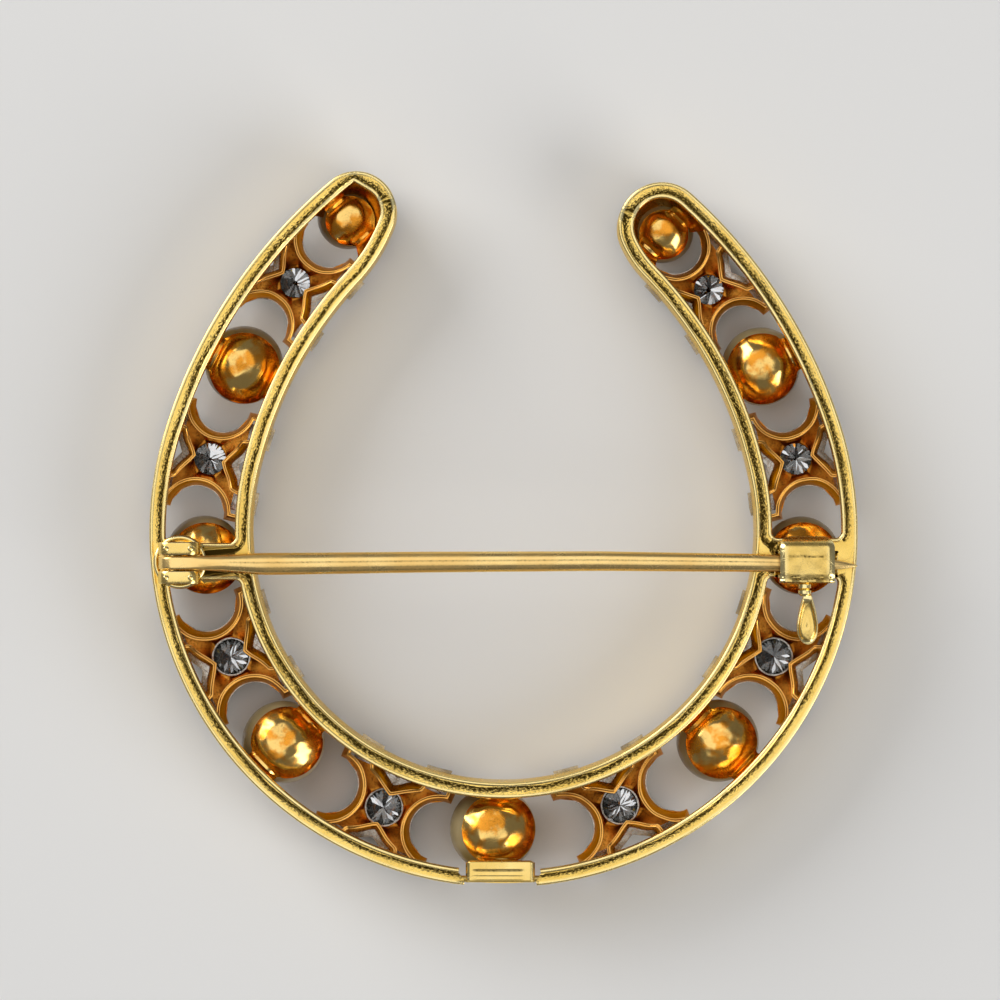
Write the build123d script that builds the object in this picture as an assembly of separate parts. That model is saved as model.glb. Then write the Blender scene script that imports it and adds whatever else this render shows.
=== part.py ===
"""Horseshoe brooch, lying face down: gold gallery, nine pearls, eight diamonds, hinged pin.

All sizes are in millimetres. +Z is the back of the brooch and the pearls touch z = 0.
Points are written from the centre of the round part of the horseshoe. The open end is towards +Y.
Directions along the band are angles from +X, in degrees. Tables hold shares of named sizes.
"""
import os
from collections import namedtuple
from math import atan2, cos, degrees, hypot, radians, sin, sqrt, tan

from build123d import *

# The two rounds that the horseshoe band lies between
OUTER_R = 17.715
INNER_R = 12.635
BAND = OUTER_R - INNER_R

# Outline of the arms: arcs that run on from the two rounds, mirrored left and right
OUTER_ARM_CENTRE = (-0.4657 * OUTER_R, -0.1468 * OUTER_R)
INNER_CENTRE_Y = 0.0295 * BAND
INNER_ARM_CENTRE = (OUTER_ARM_CENTRE[0] + 0.1083 * BAND, OUTER_ARM_CENTRE[1] + 0.2264 * BAND)

# Ends of the arms: side, height of the end as a share of OUTER_R, then the round of the end
# and the long round of its inner flank as shares of BAND, and whether its opening is pointed
ArmEnd = namedtuple("ArmEnd", "side top round flank pointed")
ARM_END_SHARES = (
    ArmEnd(1, 0.9907, 0.4331, 1.1417, False),
    ArmEnd(-1, 1.0217, 0.3937, 1.6929, True),
)
ARM_ENDS = [
    ArmEnd(e.side, e.top * OUTER_R, e.round * BAND, e.flank * BAND, e.pointed) for e in ARM_END_SHARES
]
POINT_ANGLE = 60.0

# Rims and walls
RIM_WIDTH = 0.80
RIM_BEHIND_CUPS = 0.32
RIM_THICKNESS = 0.55
RIM_CHAMFER = 0.10
WALL_THICKNESS = 0.22
WALL_FRONT = 1.45

# Line of the brooch pin, and the cross bars under its hinge and its catch
PIN_Y = -1.485
BAR_WIDTH = 1.90
CrossBar = namedtuple("CrossBar", "side low high")
CROSS_BARS = (
    CrossBar(-1, PIN_Y - 0.455 * BAR_WIDTH, PIN_Y + 0.518 * BAR_WIDTH),
    CrossBar(1, PIN_Y - 0.376 * BAR_WIDTH, PIN_Y + 0.650 * BAR_WIDTH),
)
CORNER_FILLET = 0.30

# Room for the pearls: between the inner wall and the folded bail
BAIL_DEPTH = 0.515
PEARL_ROOM = BAND - WALL_THICKNESS - BAIL_DEPTH

# Pearls: direction, share of the way across the room, radius as a share of PEARL_ROOM,
# then the radius of the cup and its shift to the side as shares of the pearl's radius
PearlSpot = namedtuple("PearlSpot", "angle across size cup_size cup_dx cup_dy")
PEARL_SPOTS = (
    PearlSpot(116.31, 0.657, 0.3567, 0.800, 0.088, -0.103),
    PearlSpot(147.11, 0.562, 0.4545, 0.901, 0.030, -0.094),
    PearlSpot(-175.79, 0.522, 0.4545, 0.911, 0.063, -0.086),
    PearlSpot(-136.44, 0.579, 0.4787, 0.865, 0.107, 0.013),
    PearlSpot(-92.09, 0.502, 0.4971, 0.856, 0.140, 0.023),
    PearlSpot(-44.18, 0.519, 0.4787, 0.865, 0.075, -0.026),
    PearlSpot(-4.38, 0.509, 0.4545, 0.911, 0.023, -0.061),
    PearlSpot(32.86, 0.532, 0.4545, 0.901, 0.015, -0.073),
    PearlSpot(62.24, 0.561, 0.3682, 0.775, 0.037, -0.128),
)
CUP_CLEARANCE = 0.03
CUP_THICKNESS = 0.20
CUP_STRAP_SHARE = 0.50
CUP_STRAP_REACH = 0.63 * BAND
CUP_STRAP_RISE = 0.30
CUP_STRAP_THICKNESS = 0.30

# Stars: direction, share of the way across the room, and size against the full star below
StarSpot = namedtuple("StarSpot", "angle across scale")
STAR_SPOTS = (
    StarSpot(129.82, 0.583, 0.88),
    StarSpot(165.88, 0.557, 0.90),
    StarSpot(-155.52, 0.530, 0.98),
    StarSpot(-113.50, 0.542, 0.98),
    StarSpot(-66.87, 0.508, 0.98),
    StarSpot(-24.64, 0.510, 0.98),
    StarSpot(14.16, 0.546, 0.90),
    StarSpot(49.79, 0.499, 0.88),
)
STAR_ARC_CENTRE = 3.10
STAR_ARC_R = 1.80
STAR_NOTCH_DEPTH = 0.95
STAR_NOTCH_MOUTH = 1.50
STAR_NOTCH_SLOPE = 29.5
STAR_ARM_OUT = 2.19
STAR_ARM_REACH = 0.63 * BAND
STAR_WALL = 0.18
STAR_FLARE = 0.26
STAR_DEPTH = 1.85

# White metal star plates
PLATE_THICKNESS = 0.40
PLATE_GAP = 0.02
PLATE_GROW = 0.30
PLATE_NOTCH_GROW = 0.30
PLATE_OVERHANG = 0.15
COLLAR_WALL = 0.16
COLLAR_LIP = 0.08
LEDGE_BELOW_BACK = 0.25

# Round brilliants
STONE_GIRDLE_R = 1.05
STONE_TABLE_SHARE = 0.56
STONE_GIRDLE_HEIGHT = 0.07
STONE_CROWN_ANGLE = 34.0
STONE_CROWN_HALF_ANGLE = 40.5
STONE_STAR_ANGLE = 20.0
STONE_PAVILION_ANGLE = 40.8
STONE_PAVILION_HALF_ANGLE = 42.0
STONE_CLEARANCE = 0.03
STONE_LEDGE = 0.15

# Levels at the back: the rims stand clear behind the largest cup, and the pin behind the rims
LARGEST_PEARL_R = max(spot.size for spot in PEARL_SPOTS) * PEARL_ROOM
RIM_BACK = 2 * (LARGEST_PEARL_R + CUP_CLEARANCE) + CUP_THICKNESS + RIM_BEHIND_CUPS
RIM_FRONT = RIM_BACK - RIM_THICKNESS

# Hinge of the brooch pin
HINGE_INSET = 1.215
HINGE_RISE = 1.20
HINGE_X = -(OUTER_R - HINGE_INSET)
HINGE_Z = RIM_BACK + HINGE_RISE
HINGE_FOOT_R = 1.35
HINGE_FOOT_HALF = 0.20
HINGE_FOOT_SHIFT = (0.33, 0.035)
EAR_OUTWARD = 0.69
EAR_INWARD = 1.37
EAR_RISE = 0.66
EAR_ROUND = 0.55
EAR_THICKNESS = 0.66
TONGUE_THICKNESS = 0.70
TONGUE_R = 0.68
HINGE_SIDE_GAP = 0.04
RIVET_R = 0.25
RIVET_CLEARANCE = 0.03

# Brooch pin, from the hinge to its point: place as a share of OUTER_R, then the bow
# to the side, half width and half height as shares of STEM_HALF
STEM_HALF = 0.55
STEM_RISE = 1.40
STEM_Z = RIM_BACK + STEM_RISE
Station = namedtuple("Station", "x bow half_width half_height")
STEM = (
    Station(-0.8806, 0.000, 0.636, 0.764),
    Station(-0.8016, -0.027, 0.727, 0.800),
    Station(-0.6830, -0.082, 1.000, 0.873),
    Station(-0.2258, 0.082, 0.945, 0.836),
    Station(0.2710, 0.173, 0.891, 0.800),
    Station(0.7113, 0.009, 0.818, 0.764),
    Station(0.8693, -0.100, 0.618, 0.600),
    Station(0.9371, -0.173, 0.455, 0.455),
    Station(0.9935, -0.264, 0.073, 0.073),
)
SHOULDER_OUT_SHARE = 0.72
SHOULDER_UP_SHARE = 0.50

# Safety catch, whose cover rolls about the pin
CATCH_DROP = 0.055
CATCH_Y = PIN_Y - CATCH_DROP
CATCH_LENGTH = 2.71
CATCH_INSET = 3.985
CATCH_START = OUTER_R - CATCH_INSET
CATCH_X = (CATCH_START, CATCH_START + CATCH_LENGTH)
CATCH_CHEEK = 0.20
CATCH_END_GAP = 0.03
CHEEK_HALF = 0.66
TROUGH_R = 0.54
TROUGH_WALL = 0.12
ROLL_CLEARANCE = 0.04
COVER_R = 1.30
COVER_TOP = 1.02
COVER_LIP = 1.00
COVER_START = -20.0
COVER_CORNER = 0.75
COVER_FILLET = 0.14
NECK_SHIFT = 0.97
NECK_WIDTH = 0.57
NECK_LENGTH = 0.71
NECK_THICKNESS = 0.42
LEAF_SHIFT = 1.38
LEAF_LENGTH = 2.30
LEAF_WIDEST = 1.35
LEAF_HALF_WIDTH = 0.53
LEAF_WAIST = 0.30
LEAF_SHOULDER = 0.26
LEAF_SHOULDER_RISE = 0.13
LEAF_THICKNESS = 0.34
LEAF_DISH = 0.16
LEAF_EDGE = 0.15

# Folded bail at the bottom
BAIL_CENTRE_X = -0.16
BAIL_WIDTH = 3.46
BAIL_X = (BAIL_CENTRE_X - BAIL_WIDTH / 2, BAIL_CENTRE_X + BAIL_WIDTH / 2)
BAIL_SIDE_GAP = 0.10
BAIL_ROOM_DEPTH = 0.935
BAIL_SILL = 0.15
BAIL_BAR_INSET = 0.245
BAIL_BAR_WIDTH = 1.07
BAIL_AXIS_INSET = 0.415
BAIL_AXIS_DROP = 0.28
BAIL_AXIS_Y = -(OUTER_R - BAIL_AXIS_INSET)
BAIL_AXIS_Z = RIM_BACK - BAIL_AXIS_DROP
BAIL_FILLET = 0.14
BAIL_PLATE_THICKNESS = 0.30
BAIL_PLATE_RISE = 0.30
BAIL_PLATE_FRONT = WALL_FRONT + BAIL_PLATE_RISE
BAIL_PIN_R = 0.16
BAIL_PIN_CLEARANCE = 0.03
BAIL_PIN_DEPTH = 0.50
BAIL_PIN_END_GAP = 0.02
SEAT_CLEARANCE = 0.005

# Loop of the bail: it fits the width of the bail and two thirds of the depth in front of its bar
LOOP_HALF = min(BAIL_WIDTH / 2, (RIM_FRONT - BAIL_PLATE_FRONT) * 2 / 3)
LOOP_ROUND = 0.80 * LOOP_HALF
EYE_R = 0.4624 * LOOP_HALF
EYE_WALL = 0.2312 * LOOP_HALF

# How far a cutting body runs past what it cuts
PAST = 1.0

# Radii of the arms
OUTER_ARM_R = OUTER_R + hypot(*OUTER_ARM_CENTRE)
INNER_ARM_R = INNER_R + hypot(INNER_ARM_CENTRE[0], INNER_ARM_CENTRE[1] - INNER_CENTRE_Y)

# A pearl with its cup, and a star, at their places in the band
Pearl = namedtuple("Pearl", "x y radius cup_radius cup_x cup_y")
Star = namedtuple("Star", "x y scale")


def arc(centre, radius, start, end):
    """Arc round a centre from one angle to another, both in degrees."""
    angles = (start, (start + end) / 2, end)
    points = [(centre[0] + radius * cos(radians(a)), centre[1] + radius * sin(radians(a))) for a in angles]
    return Edge.make_three_point_arc(*[Vector(*p) for p in points])


def bearing(start, end):
    """Angle in degrees of the line from one point to another."""
    return degrees(atan2(end[1] - start[1], end[0] - start[0]))


def meeting(first, first_r, second, second_r, side):
    """One of the two points where two circles meet, chosen by side = 1 or -1."""
    gap = hypot(second[0] - first[0], second[1] - first[1])
    along = (gap**2 + first_r**2 - second_r**2) / (2 * gap)
    across = sqrt(first_r**2 - along**2)
    ux, uy = (second[0] - first[0]) / gap, (second[1] - first[1]) / gap
    return (first[0] + along * ux - side * across * uy, first[1] + along * uy + side * across * ux)


def arm_edges(end, inset, pointed):
    """Edges of the right arm at an inset, from the outer bottom arc to the inner bottom arc."""
    round_y = end.top - end.round
    outer_centre, inner_centre = OUTER_ARM_CENTRE, INNER_ARM_CENTRE
    reach = sqrt((OUTER_ARM_R - end.round) ** 2 - (round_y - outer_centre[1]) ** 2)
    round_centre = (outer_centre[0] + reach, round_y)
    flank_centre = meeting(
        round_centre, end.flank - end.round, inner_centre, INNER_ARM_R + end.flank, 1
    )
    outer_start = bearing(outer_centre, (0, 0))
    outer_end = bearing(outer_centre, round_centre)
    flank_start = bearing(flank_centre, round_centre) % 360
    flank_end = bearing(flank_centre, inner_centre) % 360
    inner_start = bearing(inner_centre, flank_centre)
    inner_end = bearing(inner_centre, (0, INNER_CENTRE_Y))
    outer_r = OUTER_ARM_R - inset
    round_r = end.round - inset
    edges = []
    if pointed:
        tangent = radians(180 - POINT_ANGLE)
        leave = (round_centre[0] + round_r * cos(tangent), round_centre[1] + round_r * sin(tangent))
        along = (sin(tangent), -cos(tangent))
        dx, dy = leave[0] - outer_centre[0], leave[1] - outer_centre[1]
        half = dx * along[0] + dy * along[1]
        run = -half + sqrt(half**2 - (dx**2 + dy**2 - outer_r**2))
        point = (leave[0] + run * along[0], leave[1] + run * along[1])
        edges.append(arc(outer_centre, outer_r, outer_start, bearing(outer_centre, point)))
        edges.append(Edge.make_line(Vector(*point), Vector(*leave)))
        edges.append(arc(round_centre, round_r, 180 - POINT_ANGLE, flank_start))
    else:
        edges.append(arc(outer_centre, outer_r, outer_start, outer_end))
        edges.append(arc(round_centre, round_r, outer_end, flank_start))
    edges.append(arc(flank_centre, end.flank - inset, flank_start, flank_end))
    edges.append(arc(inner_centre, INNER_ARM_R + inset, inner_start, inner_end))
    return edges


def band(inset, open_ends=False):
    """Face of the horseshoe band, drawn in by an inset all round."""
    start = bearing(OUTER_ARM_CENTRE, (0, 0))
    inner_start = bearing(INNER_ARM_CENTRE, (0, INNER_CENTRE_Y))
    edges = [
        arc((0, 0), OUTER_R - inset, start, -180 - start),
        arc((0, INNER_CENTRE_Y), INNER_R + inset, inner_start, -180 - inner_start),
    ]
    for end in ARM_ENDS:
        side = arm_edges(end, inset, open_ends and end.pointed)
        edges += [e if end.side > 0 else e.mirror(Plane.YZ) for e in side]
    return Face(Wire(edges))


def slab(face, low, high):
    """Straight body on a face between two heights."""
    return Pos(0, 0, low) * extrude(face, amount=high - low, dir=(0, 0, 1))


def block(x, y, z):
    """Box between three pairs of bounds."""
    size = [b - a for a, b in (x, y, z)]
    return Pos(*[(a + b) / 2 for a, b in (x, y, z)]) * Box(*size)


def outward(x, y):
    """Angle in degrees of the band's outward normal at a point."""
    joint = bearing(OUTER_ARM_CENTRE, (0, 0))
    if bearing((0, 0), (abs(x), y)) < joint:
        return bearing((0, 0), (x, y))
    side = 1 if x > 0 else -1
    return bearing((side * OUTER_ARM_CENTRE[0], OUTER_ARM_CENTRE[1]), (x, y))


def edge_distance(angle, centre_y, radius, arm_centre, arm_r):
    """Distance from the middle of the horseshoe to an outline of the band, in a direction."""
    ux, uy = abs(cos(radians(angle))), sin(radians(angle))
    in_arm = degrees(atan2(uy, ux)) > bearing(arm_centre, (0, centre_y))
    centre, r = (arm_centre, arm_r) if in_arm else ((0, centre_y), radius)
    along = ux * centre[0] + uy * centre[1]
    return along + sqrt(along**2 + r**2 - centre[0] ** 2 - centre[1] ** 2)


def spot(angle, across):
    """Point in the room between the inner wall and the folded bail, a share of the way across."""
    inner = edge_distance(angle, INNER_CENTRE_Y, INNER_R, INNER_ARM_CENTRE, INNER_ARM_R) + WALL_THICKNESS
    outer = edge_distance(angle, 0, OUTER_R, OUTER_ARM_CENTRE, OUTER_ARM_R) - BAIL_DEPTH
    distance = inner + across * (outer - inner)
    return distance * cos(radians(angle)), distance * sin(radians(angle))


def pearls():
    """Every pearl at its place, with the size and place of its cup."""
    found = []
    for p in PEARL_SPOTS:
        x, y = spot(p.angle, p.across)
        radius = p.size * PEARL_ROOM
        cup_radius = p.cup_size * radius
        found.append(Pearl(x, y, radius, cup_radius, x + p.cup_dx * radius, y + p.cup_dy * radius))
    return found


def stars():
    """Every star at its place."""
    return [Star(*spot(s.angle, s.across), s.scale) for s in STAR_SPOTS]


def openings():
    """The openings between the rims, cut across by the two bars, with soft corners at the bars."""
    opening = band(RIM_WIDTH, open_ends=True)
    bars = [
        Pos(bar.side * OUTER_R, (bar.low + bar.high) / 2) * Rectangle(OUTER_R, bar.high - bar.low)
        for bar in CROSS_BARS
    ]
    cut = Sketch() + opening - bars
    levels = [(bar.side, y) for bar in CROSS_BARS for y in (bar.low, bar.high)]
    corners = [
        v for v in cut.vertices() if any(v.X * side > 0 and abs(v.Y - y) < 1e-4 for side, y in levels)
    ]
    return fillet(corners, CORNER_FILLET)


def rims():
    """Flat rims with bevelled back edges, and the cross bars between them."""
    ring = slab(Sketch() + band(0) - openings(), RIM_FRONT, RIM_BACK)
    top_edges = ring.faces().sort_by(Axis.Z)[-1].edges()
    ring = chamfer(top_edges, RIM_CHAMFER)
    walls = slab(Sketch() + band(0) - band(WALL_THICKNESS), WALL_FRONT, RIM_FRONT + RIM_CHAMFER)
    return ring + walls


def star_outline(grow, notch_grow, reach):
    """Star with two round sides and two V notches, grown outwards by an amount."""
    radius = STAR_ARC_R - grow
    slope = tan(radians(STAR_NOTCH_SLOPE))
    vertex = STAR_NOTCH_DEPTH + (grow + notch_grow) / cos(radians(STAR_NOTCH_SLOPE))
    arm_in = STAR_NOTCH_MOUTH - grow
    arm_out = STAR_ARM_OUT + grow
    mouth = vertex + arm_in * slope
    shoulder = sqrt(radius**2 - (STAR_ARC_CENTRE - arm_out) ** 2)
    edges = []
    for side in (1, -1):
        top = [
            (side * arm_out, side * shoulder),
            (side * arm_out, side * reach),
            (side * arm_in, side * reach),
            (side * arm_in, side * mouth),
            (0, side * vertex),
            (-side * arm_in, side * mouth),
            (-side * arm_in, side * reach),
            (-side * arm_out, side * reach),
            (-side * arm_out, side * shoulder),
        ]
        edges += [Edge.make_line(Vector(*a), Vector(*b)) for a, b in zip(top, top[1:])]
        edges.append(
            Edge.make_three_point_arc(
                Vector(*top[-1]),
                Vector(-side * (STAR_ARC_CENTRE - radius), 0),
                Vector(-side * arm_out, -side * shoulder),
            )
        )
    return Wire(edges)


def star_place(star):
    """Where a star stands: its place in the band, its outward side turned to +Y, and its size."""
    return Pos(star.x, star.y, 0) * Rot(0, 0, outward(star.x, star.y) - 90)


def star_prism(star, grow_back, grow_front, low, high, notch_grow=0.0):
    """Flared star body between two heights."""
    front = star_outline(grow_front, notch_grow, STAR_ARM_REACH).scale(star.scale)
    back = star_outline(grow_back, notch_grow, STAR_ARM_REACH).scale(star.scale)
    place = star_place(star)
    wires = [place * Pos(0, 0, low) * front, place * Pos(0, 0, high) * back]
    return Part() + Solid.make_loft(wires, ruled=True)


def star_box(star, hold, hollow):
    """Open star box between the walls, with a hollow inside."""
    back = WALL_FRONT + STAR_DEPTH
    outer = star_prism(star, 0, STAR_FLARE, WALL_FRONT, back)
    inner = star_prism(star, -STAR_WALL, STAR_FLARE - STAR_WALL, WALL_FRONT - 0.01, back + 0.01)
    return (outer & hold) - (inner & hollow)


def cup(pearl, hold):
    """Domed cup behind a pearl, with two straps under the rims that run out to the walls."""
    inner_r = pearl.radius + CUP_CLEARANCE
    ball = Pos(pearl.x, pearl.y, pearl.radius) * Sphere(inner_r)
    shell = Pos(pearl.x, pearl.y, pearl.radius) * Sphere(inner_r + CUP_THICKNESS) - ball
    centre = Pos(pearl.cup_x, pearl.cup_y, 0)
    turn = Rot(0, 0, outward(pearl.x, pearl.y) - 90)
    low = pearl.radius + CUP_STRAP_RISE
    high = 2 * inner_r + CUP_THICKNESS
    half = CUP_STRAP_SHARE * pearl.cup_radius
    reach = (-CUP_STRAP_REACH, CUP_STRAP_REACH)
    disc = centre * slab(Face(Wire(Edge.make_circle(pearl.cup_radius))), low, high)
    strap = centre * turn * block((-half, half), reach, (low, high))
    bridge = centre * turn * block((-half, half), reach, (low, low + CUP_STRAP_THICKNESS))
    return (shell & disc) + (shell & strap & hold) + ((bridge & hold) - ball)


def cylinder_x(radius, x, y, z):
    """Round bar along X between two ends, about the line at y and z."""
    return Pos(sum(x) / 2, y, z) * Rot(0, 90, 0) * Cylinder(radius, x[1] - x[0])


def cylinder_y(radius, x, y, z):
    """Round bar along Y between two ends, about the line at x and z."""
    return Pos(x, sum(y) / 2, z) * Rot(90, 0, 0) * Cylinder(radius, y[1] - y[0])


def hinge_spans():
    """The Y bounds of the tongue and of the two ears beside it."""
    half = TONGUE_THICKNESS / 2
    near = half + HINGE_SIDE_GAP
    far = near + EAR_THICKNESS
    return (PIN_Y - half, PIN_Y + half), (PIN_Y - far, PIN_Y - near), (PIN_Y + near, PIN_Y + far)


def hinge_foot():
    """Round foot on the cross bar and two ears with rounded tops."""
    tongue, low_ear, high_ear = hinge_spans()
    shift_x, shift_y = HINGE_FOOT_SHIFT
    foot = Pos(HINGE_X + shift_x, PIN_Y + shift_y, RIM_BACK) * Cylinder(HINGE_FOOT_R, 2 * HINGE_FOOT_HALF)
    ears = Part()
    for ear in (low_ear, high_ear):
        length = (HINGE_X - EAR_OUTWARD, HINGE_X + EAR_INWARD)
        body = block(length, ear, (RIM_BACK - RIM_CHAMFER, HINGE_Z + EAR_RISE))
        ears += fillet(body.edges().filter_by(Axis.Y).group_by(Axis.Z)[-1], EAR_ROUND)
    bore = cylinder_y(RIVET_R + SEAT_CLEARANCE, HINGE_X, (low_ear[0] - PAST, high_ear[1] + PAST), HINGE_Z)
    return foot + ears - bore


def pin_stem():
    """Brooch pin: flat tongue on the rivet, then a ridged stem that tapers to a point."""
    tongue = hinge_spans()[0]
    root = STEM[0].half_height * STEM_HALF
    wires = []
    for s in STEM:
        ring = [
            (0, 1),
            (SHOULDER_OUT_SHARE, SHOULDER_UP_SHARE),
            (1, 0),
            (SHOULDER_OUT_SHARE, -SHOULDER_UP_SHARE),
            (0, -1),
            (-SHOULDER_OUT_SHARE, -SHOULDER_UP_SHARE),
            (-1, 0),
            (-SHOULDER_OUT_SHARE, SHOULDER_UP_SHARE),
        ]
        place = Pos(s.x * OUTER_R, PIN_Y + s.bow * STEM_HALF, STEM_Z)
        points = [Vector(0, u * s.half_width * STEM_HALF, v * s.half_height * STEM_HALF) for u, v in ring]
        wires.append(place * Wire.make_polygon(points, close=True))
    stem = Part() + Solid.make_loft(wires, ruled=True)
    eye = cylinder_y(TONGUE_R, HINGE_X, tongue, HINGE_Z)
    flat = block((HINGE_X, STEM[0].x * OUTER_R + 2 * root), tongue, (STEM_Z - root, STEM_Z + root))
    bore = cylinder_y(RIVET_R + RIVET_CLEARANCE, HINGE_X, (tongue[0] - PAST, tongue[1] + PAST), HINGE_Z)
    return eye + flat + stem - bore


def hinge_rivet():
    """Cross pin through both ears and the tongue."""
    _, low_ear, high_ear = hinge_spans()
    return cylinder_y(RIVET_R, HINGE_X, (low_ear[0], high_ear[1]), HINGE_Z)


def catch_cradle():
    """Trough under the pin, held between two cheeks on the cross bar."""
    low = CATCH_X[0] - CATCH_END_GAP - CATCH_CHEEK
    high = CATCH_X[1] + CATCH_END_GAP + CATCH_CHEEK
    tube_r = TROUGH_R + TROUGH_WALL
    sides = (CATCH_Y - CHEEK_HALF, CATCH_Y + CHEEK_HALF)
    foot = (RIM_BACK - RIM_CHAMFER, STEM_Z)
    cradle = cylinder_x(tube_r, (low, high), CATCH_Y, STEM_Z)
    cradle += block((low, low + CATCH_CHEEK), sides, foot)
    cradle += block((high - CATCH_CHEEK, high), sides, foot)
    past = (low - PAST, high + PAST)
    cradle -= cylinder_x(TROUGH_R, past, CATCH_Y, STEM_Z)
    return cradle - block(past, (CATCH_Y - tube_r, CATCH_Y + tube_r), (STEM_Z, STEM_Z + tube_r))


def leaf(edge, low, high):
    """Leaf-shaped plate of the lever, drawn in by an edge all round."""
    start = CATCH_Y - COVER_LIP - NECK_LENGTH
    end = start - LEAF_LENGTH
    waist = (LEAF_WAIST - edge, start - edge)
    wide = (LEAF_HALF_WIDTH - edge, start - LEAF_WIDEST)
    shoulder = (LEAF_SHOULDER - edge / 2, end + LEAF_SHOULDER_RISE + edge)
    right = Edge.make_three_point_arc(Vector(*waist), Vector(*wide), Vector(*shoulder))
    tip = Edge.make_three_point_arc(
        Vector(*shoulder), Vector(0, end + edge), Vector(-shoulder[0], shoulder[1])
    )
    left = right.mirror(Plane.YZ)
    top = Edge.make_line(Vector(-waist[0], waist[1]), Vector(*waist))
    return Pos(CATCH_START + LEAF_SHIFT, 0, 0) * slab(Face(Wire([right, tip, left, top])), low, high)


def catch_lever():
    """Rolling cover over the pin, with its neck and leaf-shaped lever."""
    inner_r = TROUGH_R + TROUGH_WALL + ROLL_CLEARANCE
    low, high = CATCH_Y - COVER_LIP, CATCH_Y + COVER_R
    plan = Pos(sum(CATCH_X) / 2, (low + high) / 2) * Rectangle(CATCH_X[1] - CATCH_X[0], high - low)
    plan = fillet(plan.vertices().group_by(Axis.Y)[-1], COVER_CORNER)
    cover = cylinder_x(COVER_R, CATCH_X, CATCH_Y, STEM_Z)
    cover = cover & slab(plan, STEM_Z - COVER_R, STEM_Z + COVER_TOP)
    cover = fillet(cover.faces().sort_by(Axis.Z)[-1].edges(), COVER_FILLET)
    past = (CATCH_START - PAST, CATCH_START + CATCH_LENGTH + PAST)
    below = block(past, (CATCH_Y - 2 * COVER_R, CATCH_Y), (STEM_Z - 2 * COVER_R, STEM_Z))
    start = radians(COVER_START)
    corner = Vector(2 * COVER_R * cos(start), 2 * COVER_R * sin(start))
    wedge = Wire.make_polygon(
        [Vector(0, 0), Vector(0, -2 * COVER_R), Vector(corner.X, -2 * COVER_R), corner], close=True
    )
    wedge = Pos(past[0], CATCH_Y, STEM_Z) * extrude(Plane.YZ * Face(wedge), past[1] - past[0])
    cover = cover - below - wedge - cylinder_x(inner_r, past, CATCH_Y, STEM_Z)
    neck_y = (low - NECK_LENGTH - LEAF_EDGE, low + LEAF_EDGE)
    neck_x = (CATCH_START + NECK_SHIFT, CATCH_START + NECK_SHIFT + NECK_WIDTH)
    neck = block(neck_x, neck_y, (STEM_Z, STEM_Z + NECK_THICKNESS))
    blade = leaf(0, STEM_Z, STEM_Z + LEAF_THICKNESS)
    dish = leaf(LEAF_EDGE, STEM_Z + LEAF_THICKNESS - LEAF_DISH, STEM_Z + PAST)
    return cover + neck + (blade - dish)


def stone():
    """Round brilliant about the origin, with its girdle's back at z = 0 and its table towards -Z."""
    radius = STONE_GIRDLE_R
    crown = (1 - STONE_TABLE_SHARE) * radius * tan(radians(STONE_CROWN_ANGLE))
    front = -STONE_GIRDLE_HEIGHT
    table = front - crown
    flat = radius * cos(radians(11.25))
    table_r = STONE_TABLE_SHARE * radius * cos(radians(22.5))
    Facets = namedtuple("Facets", "count turn angle reach z")
    rows = (
        Facets(16, 11.25, 90.0, flat, 0),
        Facets(8, 0.0, -STONE_CROWN_ANGLE, radius, front),
        Facets(16, 11.25, -STONE_CROWN_HALF_ANGLE, flat, front),
        Facets(8, 22.5, -STONE_STAR_ANGLE, table_r, table),
        Facets(8, 0.0, STONE_PAVILION_ANGLE, radius, 0),
        Facets(16, 11.25, STONE_PAVILION_HALF_ANGLE, flat, 0),
    )
    body = block((-radius, radius), (-radius, radius), (table, radius))
    for row in rows:
        lean = radians(row.angle)
        for k in range(row.count):
            turn = radians(row.turn + 360 * k / row.count)
            out = (cos(turn), sin(turn))
            size = sin(abs(lean))
            normal = (out[0] * size, out[1] * size, cos(lean) * (1 if lean > 0 else -1))
            plane = Plane(origin=(out[0] * row.reach, out[1] * row.reach, row.z), z_dir=normal)
            body = split(body, bisect_by=plane, keep=Keep.BOTTOM)
    return body


def plate_levels():
    """Front and back of a star plate, the ledge for its stone and the stone's girdle back."""
    back = WALL_FRONT - PLATE_GAP
    ledge = back - LEDGE_BELOW_BACK
    girdle = ledge - STONE_CLEARANCE - STONE_LEDGE * tan(radians(STONE_PAVILION_ANGLE))
    return back - PLATE_THICKNESS, back, ledge, girdle


def star_plate(star):
    """White metal star in front of its box, with a collar and a ledge for the stone."""
    front, back, ledge, girdle = plate_levels()
    lip = girdle - STONE_GIRDLE_HEIGHT - COLLAR_LIP
    sheet = star_prism(star, PLATE_GROW, PLATE_GROW, front, back, PLATE_NOTCH_GROW)
    sheet = sheet & slab(band(-PLATE_OVERHANG), front - PAST, back + PAST)
    place = star_place(star)
    bore_r = STONE_GIRDLE_R + STONE_CLEARANCE
    collar = place * Pos(0, 0, (lip + back) / 2) * Cylinder(bore_r + COLLAR_WALL, back - lip)
    seat = place * Pos(0, 0, (lip - PAST + ledge) / 2) * Cylinder(bore_r, ledge - lip + PAST)
    hole = place * Pos(0, 0, back) * Cylinder(STONE_GIRDLE_R - STONE_LEDGE, 2 * PAST)
    return sheet + collar - seat - hole


def bail_bores(radius):
    """Bores for the two pivots of the bail."""
    reach = BAIL_SIDE_GAP + BAIL_PIN_DEPTH + BAIL_PIN_END_GAP
    return [cylinder_x(radius, (x - reach, x + reach), BAIL_AXIS_Y, BAIL_AXIS_Z) for x in BAIL_X]


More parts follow.
